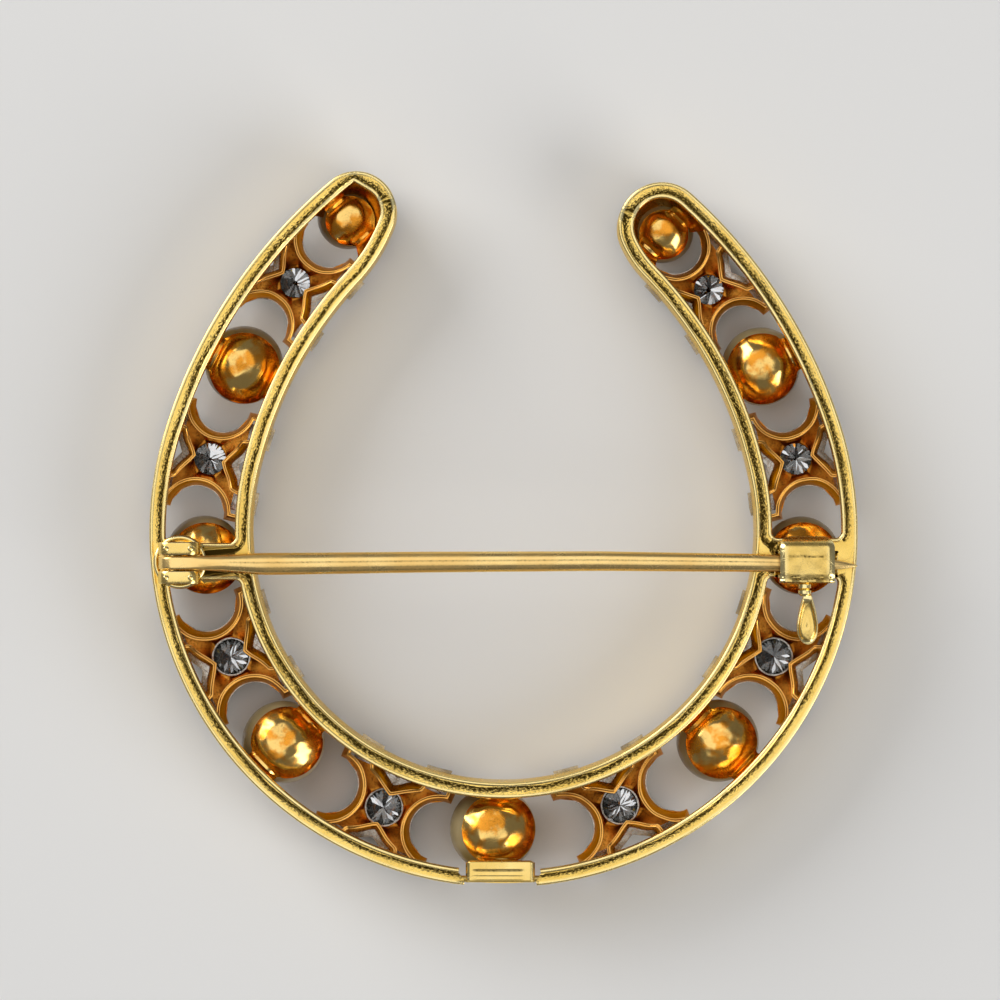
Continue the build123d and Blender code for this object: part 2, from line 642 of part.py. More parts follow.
def bail_pin(x, side):
    """One pivot of the bail, seated in the end of the rim."""
    ends = sorted((x + side * (BAIL_SIDE_GAP + BAIL_PIN_DEPTH), x - side * BAIL_PIN_DEPTH))
    return cylinder_x(BAIL_PIN_R, ends, BAIL_AXIS_Y, BAIL_AXIS_Z)


def pendant_bail():
    """Hinge bar in the gap of the outer rim, with a flat loop folded down into the wall."""
    bar_front = -(OUTER_R - BAIL_BAR_INSET)
    bar = block(BAIL_X, (bar_front, bar_front + BAIL_BAR_WIDTH), (RIM_FRONT, RIM_BACK))
    plate_y = -(OUTER_R - BAIL_DEPTH)
    sides = (plate_y - BAIL_PLATE_THICKNESS, plate_y)
    plate = block(BAIL_X, sides, (BAIL_PLATE_FRONT, RIM_FRONT + BAIL_FILLET))
    plate = fillet(plate.edges().filter_by(Axis.Y).group_by(Axis.Z)[0], LOOP_ROUND)
    eye_z = BAIL_PLATE_FRONT + EYE_WALL + EYE_R
    eye = cylinder_y(EYE_R, BAIL_CENTRE_X, (sides[0] - PAST, sides[1] + PAST), eye_z)
    return fillet(bar.edges(), BAIL_FILLET) + plate - eye - bail_bores(BAIL_PIN_R + BAIL_PIN_CLEARANCE)


def gallery():
    """The gold body, soldered into one piece."""
    hold = slab(band(WALL_THICKNESS / 2), 0, RIM_FRONT + RIM_CHAMFER)
    hollow = slab(band(WALL_THICKNESS), 0, RIM_FRONT + RIM_CHAMFER)
    body = rims()
    body += [star_box(star, hold, hollow) for star in stars()]
    body += [cup(pearl, hold) for pearl in pearls()]
    body += [hinge_foot(), catch_cradle()]
    room = block(
        (BAIL_X[0] - BAIL_SIDE_GAP, BAIL_X[1] + BAIL_SIDE_GAP),
        (-OUTER_R - PAST, -OUTER_R + BAIL_ROOM_DEPTH),
        (WALL_FRONT + BAIL_SILL, RIM_BACK + PAST),
    )
    return body - room - bail_bores(BAIL_PIN_R + SEAT_CLEARANCE)


def build():
    """All pieces by node name."""
    girdle = plate_levels()[3]
    parts = {
        "gallery": gallery(),
        "pin_stem": pin_stem(),
        "hinge_rivet": hinge_rivet(),
        "catch_lever": catch_lever(),
        "pendant_bail": pendant_bail(),
        "bail_pin_left": bail_pin(BAIL_X[0], -1),
        "bail_pin_right": bail_pin(BAIL_X[1], 1),
    }
    brilliant = stone()
    for n, star in enumerate(stars(), 1):
        parts[f"star_plate_{n}"] = star_plate(star)
        parts[f"diamond_{n}"] = star_place(star) * Pos(0, 0, girdle) * Rot(0, 0, 17 * n) * brilliant
    for n, pearl in enumerate(pearls(), 1):
        parts[f"pearl_{n}"] = Pos(pearl.x, pearl.y, pearl.radius) * Sphere(pearl.radius)
    return parts


def main():
    """Write one STEP file per piece, with the origin under the middle of the whole."""
    parts = build()
    box = Compound(children=[Compound(p.wrapped) for p in parts.values()]).bounding_box()
    middle = Pos(-(box.min.X + box.max.X) / 2, -(box.min.Y + box.max.Y) / 2, 0)
    os.makedirs("parts", exist_ok=True)
    for name, piece in parts.items():
        export_step(middle * piece, f"parts/{name}.step")


if __name__ == "__main__":
    main()
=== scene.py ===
"""Looks of a horseshoe brooch seen from the back: gold, pearls and diamonds on a pale floor.

Sizes are in millimetres, drawn from the centre of the round part of the horseshoe, with the open
end towards +Y and the back of the brooch towards +Z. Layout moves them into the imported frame.
"""

import logging
from dataclasses import dataclass, field, replace
from enum import Enum

import bmesh
import bpy
import numpy as np
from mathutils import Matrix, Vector
from mathutils.geometry import delaunay_2d_cdt


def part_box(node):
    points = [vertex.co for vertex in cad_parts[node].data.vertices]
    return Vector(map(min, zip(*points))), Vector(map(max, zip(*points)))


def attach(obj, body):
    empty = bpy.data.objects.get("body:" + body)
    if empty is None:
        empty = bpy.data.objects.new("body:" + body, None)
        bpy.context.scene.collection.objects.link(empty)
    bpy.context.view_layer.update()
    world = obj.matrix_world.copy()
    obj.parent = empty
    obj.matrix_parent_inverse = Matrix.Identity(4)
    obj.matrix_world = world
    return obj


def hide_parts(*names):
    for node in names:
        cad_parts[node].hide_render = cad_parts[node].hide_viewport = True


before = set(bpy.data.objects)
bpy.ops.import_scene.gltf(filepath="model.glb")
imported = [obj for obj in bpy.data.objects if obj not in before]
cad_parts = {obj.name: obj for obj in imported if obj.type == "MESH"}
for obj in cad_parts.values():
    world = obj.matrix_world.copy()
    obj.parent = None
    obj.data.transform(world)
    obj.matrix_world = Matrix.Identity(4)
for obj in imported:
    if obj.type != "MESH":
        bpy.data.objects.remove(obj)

MM = 0.001
LOG = logging.getLogger("horseshoe_brooch")
Point = tuple[float, float]
Triple = tuple[float, float, float]
Material = bpy.types.Material
Socket = bpy.types.NodeSocket
Tree = bpy.types.NodeTree


# Places in the frame


@dataclass(frozen=True)
class Layout:
    """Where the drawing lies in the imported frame, in millimetres."""

    x: float
    y: float

    @classmethod
    def from_frame(cls, outer_r: float) -> "Layout":
        """Find the centre of the horseshoe from the box of the gold body.

        Args:
            outer_r: Radius of the round part of the outline.

        Returns:
            The layout whose origin is that centre.
        """
        low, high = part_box("gallery")
        return cls((low[0] + high[0]) / 2 / MM, low[1] / MM + outer_r)

    def to_scene(self, points: np.ndarray) -> np.ndarray:
        """Move drawn points in millimetres into the scene, in metres."""
        return (points + np.array([self.x, self.y, 0.0])) * MM

    def centre_of(self, node: str) -> np.ndarray:
        """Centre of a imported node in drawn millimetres."""
        low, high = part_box(node)
        middle = (np.array(low) + np.array(high)) / 2 / MM
        return middle - np.array([self.x, self.y, 0.0])

    @staticmethod
    def radius_of(node: str) -> float:
        """Radius in millimetres of a packed ball."""
        low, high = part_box(node)
        return (high[2] - low[2]) / 2 / MM


# Directions and falls in the plane


def unit(angle: np.ndarray | float) -> np.ndarray:
    """Unit vectors at angles in radians, in the last axis."""
    return np.stack([np.cos(angle), np.sin(angle)], axis=-1)


def right_of(way: np.ndarray) -> np.ndarray:
    """A direction turned a quarter to the right."""
    return np.array([way[1], -way[0]])


def seen_from(offset: np.ndarray, out: np.ndarray) -> np.ndarray:
    """Turn offsets so that the outward direction is +Y."""
    return np.stack([offset @ right_of(out), offset @ out], axis=-1)


def put_back(place: np.ndarray, out: np.ndarray, seen: np.ndarray) -> np.ndarray:
    """Turn points that were drawn with outwards along +Y back into the drawing."""
    return place + seen[..., :1] * right_of(out) + seen[..., 1:] * out


def bell(value: np.ndarray, place: float | np.ndarray, width: float) -> np.ndarray:
    """Bell curve of height one about a place."""
    return np.exp(-(((value - place) / width) ** 2))


# Curves in the plane, with the metal on their left


@dataclass(frozen=True)
class Arc:
    """Arc of a circle, run from one angle to another in degrees."""

    centre: Point
    radius: float
    start: float
    end: float

    def mirrored(self) -> "Arc":
        """The same arc on the other side of the brooch, run so that the metal stays on its left."""
        return Arc((-self.centre[0], self.centre[1]), self.radius, 180 - self.end, 180 - self.start)

    def back(self) -> "Arc":
        """The same arc, run the other way."""
        return replace(self, start=self.end, end=self.start)

    def at(self, inset: float) -> "Arc":
        """The same arc, drawn into the metal by an inset."""
        return replace(self, radius=self.radius + (-inset if self.end > self.start else inset))

    def sample(self, step: float) -> tuple[np.ndarray, np.ndarray]:
        """Points along the arc and their left-hand normals.

        Args:
            step: Longest distance between points; turns are also kept under nine degrees.

        Returns:
            Two arrays of shape (count, 2).
        """
        turn = abs(self.end - self.start)
        count = int(max(2, np.ceil(np.radians(turn) * self.radius / step), np.ceil(turn / 9))) + 1
        angle = np.radians(np.linspace(self.start, self.end, count))
        radial = unit(angle)
        side = -1.0 if self.end > self.start else 1.0
        return np.array(self.centre) + self.radius * radial, side * radial


@dataclass(frozen=True)
class Line:
    """Straight run from one point to another."""

    start: Point
    end: Point

    def mirrored(self) -> "Line":
        """The same run on the other side of the brooch."""
        return Line((-self.end[0], self.end[1]), (-self.start[0], self.start[1]))

    def sample(self, step: float) -> tuple[np.ndarray, np.ndarray]:
        """Points along the run and their left-hand normals, as Arc.sample gives them."""
        start, end = np.array(self.start), np.array(self.end)
        length = float(np.hypot(*(end - start)))
        count = int(max(2, np.ceil(length / step))) + 1
        share = np.linspace(0.0, 1.0, count)[:, None]
        along = (end - start) / length
        normal = np.array([-along[1], along[0]])
        return start + share * (end - start), np.repeat(normal[None, :], count, axis=0)


def sample_track(track: list[Arc | Line], step: float) -> tuple[np.ndarray, np.ndarray]:
    """Sample a chain of arcs and lines, with each joint point taken once.

    Args:
        track: Segments, each starting where the last one ends.
        step: Longest distance between points.

    Returns:
        Points and left-hand normals, both of shape (count, 2).
    """
    runs = [segment.sample(step) for segment in track]
    points = [p[:-1] for p, _ in runs[:-1]] + [runs[-1][0]]
    normals = [n[:-1] for _, n in runs[:-1]] + [runs[-1][1]]
    return np.concatenate(points), np.concatenate(normals)


def bearing(start: Point, end: Point) -> float:
    """Angle in degrees of the line from one point to another."""
    return float(np.degrees(np.arctan2(end[1] - start[1], end[0] - start[0])))


def circles_meet(first: Point, first_r: float, second: Point, second_r: float) -> Point:
    """The meeting point of two circles on the left of the line between their centres."""
    gap = float(np.hypot(second[0] - first[0], second[1] - first[1]))
    along = (gap**2 + first_r**2 - second_r**2) / (2 * gap)
    across = float(np.sqrt(first_r**2 - along**2))
    ux, uy = (second[0] - first[0]) / gap, (second[1] - first[1]) / gap
    return (first[0] + along * ux - across * uy, first[1] + along * uy + across * ux)


# Meshes from grids


@dataclass
class Patch:
    """Grid of drawn points, with masks for a painted highlight on its worn edges and for painted
    shade, partly tarnish, in its hollows.

    Across is the place in a painted dark line of shade that follows an edge, from 0 at its crisp
    side to 1 where it has faded, and outside that range where there is none. Along is the way along
    it in millimetres.
    """

    points: np.ndarray
    closed_rows: bool = False
    closed_columns: bool = False
    edge: float | np.ndarray = 0.0
    shade: float | np.ndarray = 0.0
    across: float | np.ndarray = -1.0
    along: float | np.ndarray = 0.0

    def corners(self) -> np.ndarray:
        """Quads between neighbouring rows and columns, as indices into the flattened grid."""
        rows, columns = self.points.shape[:2]
        grid = np.arange(rows * columns).reshape(rows, columns)
        if self.closed_rows:
            grid = np.concatenate([grid, grid[:1]], axis=0)
        if self.closed_columns:
            grid = np.concatenate([grid, grid[:, :1]], axis=1)
        quads = [grid[:-1, :-1], grid[1:, :-1], grid[1:, 1:], grid[:-1, 1:]]
        return np.stack([q.ravel() for q in quads], axis=1)

    def flat(self) -> np.ndarray:
        """Points as one list."""
        return self.points.reshape(-1, 3)


@dataclass
class Fill:
    """Triangles between drawn points, which close a flat region."""

    points: np.ndarray
    triangles: np.ndarray
    edge: float | np.ndarray = 0.0
    shade: float | np.ndarray = 0.0
    across: float | np.ndarray = -1.0
    along: float | np.ndarray = 0.0

    def corners(self) -> np.ndarray:
        """Triangles as indices into the points."""
        return self.triangles

    def flat(self) -> np.ndarray:
        """Points as one list."""
        return self.points


def fan(loop: np.ndarray, edge: float | np.ndarray = 0.0, shade: float | np.ndarray = 0.0) -> Patch:
    """Close a loop of points with a fan to its middle, as a grid of two rows."""
    middle = np.repeat(loop.mean(axis=0)[None, :], len(loop), axis=0)
    return Patch(np.stack([loop, middle]), closed_columns=True, edge=edge, shade=shade)


def capped(points: np.ndarray, **masks: np.ndarray | float) -> list[Patch]:
    """Tube of closed rows, with a fan over each end."""
    return [Patch(points, closed_columns=True, **masks), fan(points[0]), fan(points[-1])]


def soft_noise(points: np.ndarray, scale: float, seed: int) -> np.ndarray:
    """Smooth unevenness from -1 to 1: the mean of eight sine waves in fixed random directions.

    Args:
        points: Places, in the last axis, in millimetres.
        scale: Length of one wave in millimetres.
        seed: Picks the directions.

    Returns:
        One value for each place.
    """
    dice = np.random.default_rng(seed)
    waves = dice.normal(size=(points.shape[-1], 8))
    waves *= 2 * np.pi / scale / np.linalg.norm(waves, axis=0)
    return np.sin(points @ waves + dice.uniform(0, 2 * np.pi, 8)).mean(axis=-1)


@dataclass
class Piece:
    """One named object of the scene: its patches, material, body and the nodes it stands for."""

    name: str
    patches: list[Patch | Fill]
    material: Material
    body: str = "brooch"
    slot: str = "yellow_gold"
    nodes: tuple[str, ...] = ()
    sharp_angle: float = 40.0

    def build(self, layout: Layout) -> bpy.types.Object:
        """Put all patches into one closed mesh, join their seams, and link the piece into the scene
        on its body.

        Args:
            layout: Turns drawn millimetres into the scene's metres.

        Returns:
            The new object, which rides on its body.
        """
        points = np.concatenate([patch.flat() for patch in self.patches])
        mesh = bpy.data.meshes.new(self.name)
        self._fill_mesh(mesh, layout.to_scene(points))
        self._join_seams(mesh)
        mesh.polygons.foreach_set("use_smooth", np.ones(len(mesh.polygons), dtype=bool))
        mesh.set_sharp_from_angle(angle=np.radians(self.sharp_angle))
        mesh.materials.append(self.material)
        obj = bpy.data.objects.new(self.name, mesh)
        bpy.context.scene.collection.objects.link(obj)
        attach(obj, self.body)
        if self.nodes:
            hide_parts(*self.nodes)
        LOG.info("%s: %d faces on %s", self.name, len(mesh.polygons), self.body)
        return obj

    def _fill_mesh(self, mesh: bpy.types.Mesh, co: np.ndarray) -> None:
        """Write points, faces and the four masks into the mesh."""
        loops, totals, masks = [], [], {"edge": [], "shade": [], "across": [], "along": []}
        start = 0
        for patch in self.patches:
            corners = patch.corners() + start
            loops.append(corners.ravel())
            totals.append(np.full(len(corners), corners.shape[1]))
            count = len(patch.flat())
            for name, values in masks.items():
                mask = getattr(patch, name)
                values.append(np.broadcast_to(mask, patch.points.shape[:-1]).reshape(count))
            start += count
        loop_vertices, loop_totals = np.concatenate(loops), np.concatenate(totals)
        mesh.vertices.add(len(co))
        mesh.vertices.foreach_set("co", co.ravel())
        mesh.loops.add(len(loop_vertices))
        mesh.loops.foreach_set("vertex_index", loop_vertices)
        mesh.polygons.add(len(loop_totals))
        mesh.polygons.foreach_set("loop_start", np.concatenate([[0], np.cumsum(loop_totals)[:-1]]))
        mesh.polygons.foreach_set("loop_total", loop_totals)
        for name, values in masks.items():
            attribute = mesh.attributes.new(name, "FLOAT", "POINT")
            attribute.data.foreach_set("value", np.concatenate(values).astype(np.float32))
        mesh.update(calc_edges=True)

    def _join_seams(self, mesh: bpy.types.Mesh) -> None:
        """Merge points that coincide, close what is left open and turn all faces outwards."""
        form = bmesh.new()
        form.from_mesh(mesh)
        bmesh.ops.remove_doubles(form, verts=form.verts, dist=0.0004 * MM)
        bmesh.ops.dissolve_degenerate(form, edges=form.edges, dist=0.0002 * MM)
        bmesh.ops.holes_fill(form, edges=[edge for edge in form.edges if edge.is_boundary], sides=0)
        bmesh.ops.recalc_face_normals(form, faces=form.faces)
        form.to_mesh(mesh)
        form.faces.ensure_lookup_table()
        turned = [form.faces[number] for number in self._inside_out(mesh)]
        bmesh.ops.reverse_faces(form, faces=turned)
        form.to_mesh(mesh)
        form.free()

    def _inside_out(self, mesh: bpy.types.Mesh) -> np.ndarray:
        """Find the faces of closed parts whose volume, summed with its sign, is below nothing.

        Points that share an edge take the lower of their two labels until nothing changes, so
        each separate part ends with one label; the signed volume is summed over each label.

        Args:
            mesh: Mesh with its seams joined.

        Returns:
            Numbers of the faces that look inwards.
        """
        ends = np.empty(2 * len(mesh.edges), dtype=np.int64)
        mesh.edges.foreach_get("vertices", ends)
        ends = ends.reshape(-1, 2)
        label, before = np.arange(len(mesh.vertices)), None
        while before is None or not np.array_equal(before, label):
            before = label.copy()
            low = label[ends].min(axis=1)
            np.minimum.at(label, ends[:, 0], low)
            np.minimum.at(label, ends[:, 1], low)
            label = label[label]
        mesh.calc_loop_triangles()
        corners = np.empty(3 * len(mesh.loop_triangles), dtype=np.int64)
        faces = np.empty(len(mesh.loop_triangles), dtype=np.int64)
        places = np.empty(3 * len(mesh.vertices))
        mesh.loop_triangles.foreach_get("vertices", corners)
        mesh.loop_triangles.foreach_get("polygon_index", faces)
        mesh.vertices.foreach_get("co", places)
        first, second, third = places.reshape(-1, 3)[corners.reshape(-1, 3)].transpose(1, 0, 2)
        part = label[corners[::3]]
        volume = np.bincount(part, weights=np.einsum("ij,ij->i", first, np.cross(second, third)))
        return np.unique(faces[volume[part] < 0])


# Node groups that several finishes share


class GroupMaker:
    """Small helper that wires one shader node group."""

    def __init__(self, name: str) -> None:
        """Start an empty group with that name."""
        self.tree = bpy.data.node_groups.new(name, "ShaderNodeTree")
        self.inlet = self.tree.nodes.new("NodeGroupInput")
        self.outlet = self.tree.nodes.new("NodeGroupOutput")

    def socket(self, name: str, way: str, kind: str = "Float") -> bpy.types.NodeTreeInterfaceSocket:
        """Add a named socket, with way INPUT or OUTPUT."""
        face = self.tree.interface
        return face.new_socket(name=name, in_out=way, socket_type=f"NodeSocket{kind}")

    def inlets(self, **values: float) -> bpy.types.NodeOutputs:
        """Add a number input for each name, with its default, and return the group's inputs."""
        for name, value in values.items():
            self.socket(name, "INPUT").default_value = value
        return self.inlet.outputs

    def outlets(self, **sources: Socket) -> Tree:
        """Add a number output for each name, feed it, and return the finished group."""
        for name, source in sources.items():
            self.socket(name, "OUTPUT")
            self.link(source, self.outlet.inputs[name])
        return self.tree

    def node(self, kind: str, **settings: object) -> bpy.types.Node:
        """Add a node and set its properties."""
        made = self.tree.nodes.new(kind)
        for key, value in settings.items():
            setattr(made, key, value)
        return made

    def link(self, source: Socket, target: Socket) -> None:
        """Join two sockets."""
        self.tree.links.new(source, target)

    def feed(self, node: bpy.types.Node, values: dict[str | int, object]) -> bpy.types.Node:
        """Link sockets into a node's inputs, or set numbers and colours there."""
        for key, value in values.items():
            if isinstance(value, Socket):
                self.link(value, node.inputs[key])
            else:
                node.inputs[key].default_value = value
        return node

    def maths(self, operation: str, first: object, second: object, clamp: bool = False) -> Socket:
        """Add a Math node on sockets or numbers and return its result."""
        made = self.node("ShaderNodeMath", operation=operation, use_clamp=clamp)
        return self.feed(made, {0: first, 1: second}).outputs[0]

    def times(self, first: object, second: object, clamp: bool = False) -> Socket:
        """Product of two sockets or numbers."""
        return self.maths("MULTIPLY", first, second, clamp)

    def plus(self, first: object, second: object, clamp: bool = False) -> Socket:
        """Sum of two sockets or numbers."""
        return self.maths("ADD", first, second, clamp)

    def minus(self, first: object, second: object, clamp: bool = False) -> Socket:
        """Difference of two sockets or numbers."""
        return self.maths("SUBTRACT", first, second, clamp)

    def noise(self, vector: Socket, detail: float, **values: object) -> Socket:
        """Add a Noise node on a vector and return its value, which lies round a half."""
        values |= {"Vector": vector, "Detail": detail}
        return self.feed(self.node("ShaderNodeTexNoise"), values).outputs["Fac"]

    def drawn_noise(
        self, along: object, along_scale: float, across: object, across_scale: float, detail: float
    ) -> Socket:
        """Noise round zero on a plane whose two directions have scales of their own."""
        axes = {"X": self.times(along, along_scale), "Y": self.times(across, across_scale)}
        place = self.feed(self.node("ShaderNodeCombineXYZ"), axes).outputs["Vector"]
        return self.minus(self.noise(place, detail, Scale=1.0, Roughness=0.65), 0.5)


def scratch_group() -> Tree:
    """Hairlines in three directions: noise stretched along a line, cut off above a level."""
    group = GroupMaker("fine_scratches")
    group.socket("Vector", "INPUT", "Vector")
    inlet = group.inlets(Scale=900.0, Level=0.62)
    total = None
    for turn, stretch in ((0.35, 0.025), (1.25, 0.020), (2.45, 0.030)):
        mapping = group.node("ShaderNodeMapping", vector_type="TEXTURE")
        values = {"Rotation": (0.0, 0.0, turn), "Scale": (1.0, stretch, 1.0)}
        group.feed(mapping, {**values, "Vector": inlet["Vector"]})
        noise = group.noise(mapping.outputs["Vector"], 2.0, Scale=inlet["Scale"])
        line = group.times(group.minus(noise, inlet["Level"], clamp=True), 9.0, clamp=True)
        total = line if total is None else group.maths("MAXIMUM", total, line)
    return group.outlets(Mask=total, Height=group.times(total, -1.0))


def grain_group() -> Tree:
    """Pitted satin: fine and finer noise, with small dark pits where both are low."""
    group = GroupMaker("pitted_grain")
    group.socket("Vector", "INPUT", "Vector")
    inlet = group.inlets(Scale=9000.0)
    fine = group.noise(inlet["Vector"], 4.0, Scale=inlet["Scale"], Roughness=0.6)
    wide = group.noise(inlet["Vector"], 2.0, Scale=group.times(inlet["Scale"], 0.3))
    low = group.minus(0.52, fine, clamp=True)
    return group.outlets(Grain=fine, Pits=group.times(group.times(low, wide), 9.0, clamp=True))


def tone_group() -> Tree:
    """Slow change of tone over a piece: soft cloudy noise drawn apart to run from 0 to 1."""
    group = GroupMaker("slow_tone")
    group.socket("Vector", "INPUT", "Vector")
    inlet = group.inlets(Scale=300.0)
    cloud = group.noise(inlet["Vector"], 3.0, Scale=inlet["Scale"])
    return group.outlets(Tone=group.times(group.minus(cloud, 0.35), 3.3, clamp=True))


def stripe_group() -> Tree:
    """Painted shade along an edge, as a dark line: steep on its crisp side, slow and ragged on its
    other side.

    The mask is a steep ramp up at the line's start, times a slow ramp down to its end, times
    specks. Noise drawn out along the line shifts both ramps.
    """
    group = GroupMaker("painted_shade_line")
    inlet = group.inlets(Across=-1.0, Along=0.0)
    across, along = inlet["Across"], inlet["Along"]
    fine = group.drawn_noise(along, 6.5, across, 5.0, 6.0)
    shift = group.times(group.drawn_noise(along, 0.33, across, 0.4, 1.0), 1.1)
    near = group.plus(across, group.plus(group.times(fine, 0.8), shift))
    up = group.times(group.plus(near, 0.03), 14.0, clamp=True)
    far = group.plus(across, group.plus(group.times(fine, 3.2), shift))
    down = group.times(group.minus(1.0, far), 2.0, clamp=True)
    specks = group.minus(1.15, group.times(fine, 6.0), clamp=True)
    return group.outlets(Mask=group.times(group.times(up, down), specks))


@dataclass(frozen=True)
class SharedGroups:
    """The node groups, built once."""

    scratches: Tree
    grain: Tree
    tone: Tree
    stripe: Tree

    @classmethod
    def build(cls) -> "SharedGroups":
        """Make all groups."""
        return cls(scratch_group(), grain_group(), tone_group(), stripe_group())


# Finishes


class MaterialMaker(GroupMaker):
    """Helper that wires one material round a Principled shader."""

    def __init__(self, name: str) -> None:
        """Start a material whose shader is the Principled one."""
        self.material = bpy.data.materials.new(name)
        self.material.use_nodes = True
        self.tree = self.material.node_tree
        self.shader = self.tree.nodes["Principled BSDF"]
        self.place = self.node("ShaderNodeTexCoord").outputs["Object"]

    def group(self, tree: Tree, **values: float) -> bpy.types.Node:
        """Place a shared group, fed with the object's own coordinates."""
        made = self.node("ShaderNodeGroup", node_tree=tree)
        return self.feed(made, {"Vector": self.place, **values})

    def mask(self, name: str) -> Socket:
        """Read one of the masks that the pieces carry."""
        return self.node("ShaderNodeAttribute", attribute_name=name).outputs["Fac"]

    def mix(self, share: Socket, first: object, second: object) -> Socket:
        """Mix two colours, each a socket or three numbers, by a share."""
        colours = [c if isinstance(c, Socket) else (*c, 1.0) for c in (first, second)]
        made = self.node("ShaderNodeMix", data_type="RGBA")
        share_input, first_input, second_input, result = 0, 6, 7, 2
        values = {share_input: share, first_input: colours[0], second_input: colours[1]}
        return self.feed(made, values).outputs[result]

    def shine(self, **values: object) -> None:
        """Feed the shader; a name's underscores stand for the blanks in its input's name."""
        self.feed(self.shader, {name.replace("_", " "): value for name, value in values.items()})

    def bump(self, height: Socket, depth: float) -> None:
        """Add a relief of a real depth in metres to the shader's normal."""
        values = {"Strength": 1.0, "Distance": depth, "Height": height}
        made = self.feed(self.node("ShaderNodeBump"), values)
        if self.shader.inputs["Normal"].is_linked:
            self.link(self.shader.inputs["Normal"].links[0].from_socket, made.inputs["Normal"])
        self.link(made.outputs["Normal"], self.shader.inputs["Normal"])


@dataclass(frozen=True)
class GoldFinish:
    """Polished or satin gold with wear, a painted highlight on its worn edges and painted shade in
    its hollows and dark lines.

    Attributes:
        name: Name of the material.
        colour: Colour of open, polished metal.
        deep: Colour in the slow darker clouds.
        shade_and_tarnish: Colour of painted shade in the grainy hollows and dark lines, partly
            tarnish.
        roughness: Roughness of polished metal.
        satin: Roughness added in the clouds.
        scratch: How strongly hairlines show.
        dents: Depth in metres of the slow unevenness.
        worn: Colour of worn edges, paled as a painted highlight.
        grain: Relief of the satin grain outside the hollows.
        cloud: Scale of the slow clouds.
        crisp: How sharply the clouds end.
        hollow: Least share of a hollow's painted shade, partly tarnish; its pits add to it.
        pits: How strongly the pits do so.
        edge_highlight_share: How strongly the painted highlight on worn edges shows.
        hollow_rough: Roughness added in the dark.
        hairline_rough: Roughness added by hairlines.
        edge_smooth: Roughness taken off on worn edges.
        grain_depth: Depth in metres of the satin grain.
        scratch_depth: Depth in metres of the hairlines.
    """

    name: str
    colour: Triple
    deep: Triple
    shade_and_tarnish: Triple
    roughness: float
    satin: float
    scratch: float
    dents: float
    worn: Triple = (1.0, 0.87, 0.46)
    grain: float = 0.08
    cloud: float = 420.0
    crisp: float = 1.0
    hollow: float = 0.55
    pits: float = 0.8
    edge_highlight_share: float = 0.7
    hollow_rough: float = 0.25
    hairline_rough: float = 0.15
    edge_smooth: float = 0.06
    grain_depth: float = 0.018 * MM
    scratch_depth: float = 0.0012 * MM

    def build(self, groups: SharedGroups) -> Material:
        """Wire the material.

        Args:
            groups: The shared node groups.

        Returns:
            The new material.
        """
        maker = MaterialMaker(self.name)
        tone = maker.group(groups.tone, Scale=self.cloud).outputs["Tone"]
        tone = maker.plus(maker.times(tone, self.crisp), 0.5 - 0.5 * self.crisp, clamp=True)
        grain = maker.group(groups.grain, Scale=9000.0).outputs
        scratches = maker.group(groups.scratches, Scale=330.0, Level=0.62).outputs
        edge, shade = maker.mask("edge"), maker.mask("shade")
        line = {"Across": maker.mask("across"), "Along": maker.mask("along")}
        stripe = maker.feed(maker.node("ShaderNodeGroup", node_tree=groups.stripe), line)
        # Painted shade, partly tarnish: the shade mask with its pits and the dark line darken the
        # colour.
        pitted = maker.plus(self.hollow, maker.times(grain["Pits"], self.pits))
        patchy = maker.times(shade, pitted, clamp=True)
        dark = maker.maths("MAXIMUM", patchy, stripe.outputs["Mask"])
        dulled = maker.mix(dark, maker.mix(tone, self.colour, self.deep), self.shade_and_tarnish)
        # Painted highlight: the edge mask pales worn edges towards the worn colour.
        colour = maker.mix(maker.times(edge, self.edge_highlight_share, clamp=True), dulled, self.worn)
        rough = maker.plus(maker.times(tone, self.satin), self.roughness)
        rough = maker.plus(rough, maker.times(dark, self.hollow_rough))
        lined = maker.times(scratches["Mask"], self.hairline_rough * self.scratch)
        rough = maker.minus(maker.plus(rough, lined), maker.times(edge, self.edge_smooth))
        maker.shine(Metallic=1.0, Specular_Tint=(*self.worn, 1.0))
        maker.shine(Base_Color=colour, Roughness=rough)
        maker.bump(maker.noise(maker.place, 1.0, Scale=700.0), self.dents)
        maker.bump(maker.times(grain["Grain"], maker.plus(self.grain, dark)), self.grain_depth)
        maker.bump(scratches["Height"], self.scratch_depth * self.scratch)
        return maker.material


@dataclass(frozen=True)
class PearlFinish:
    """Soft nacre: body darkened by painted shade, with a slow change of tone and a thin clear coat.
    """

    name: str = "cream_nacre_with_painted_shade"
    colour: Triple = (0.24, 0.185, 0.075)
    light: Triple = (0.43, 0.36, 0.20)

    def build(self, groups: SharedGroups) -> Material:
        """Wire the material, as GoldFinish.build does."""
        maker = MaterialMaker(self.name)
        tone = maker.group(groups.tone, Scale=350.0).outputs["Tone"]
        grain = maker.group(groups.grain, Scale=5000.0).outputs["Grain"]
        colour = maker.mix(tone, self.colour, self.light)
        maker.shine(Base_Color=colour, Roughness=maker.plus(0.30, maker.times(grain, 0.16)))
        maker.shine(Subsurface_Weight=0.25, Subsurface_Radius=(0.0006, 0.0005, 0.0004))
        maker.shine(Coat_Weight=0.35, Coat_Roughness=0.18)
        maker.bump(grain, 0.006 * MM)
        return maker.material


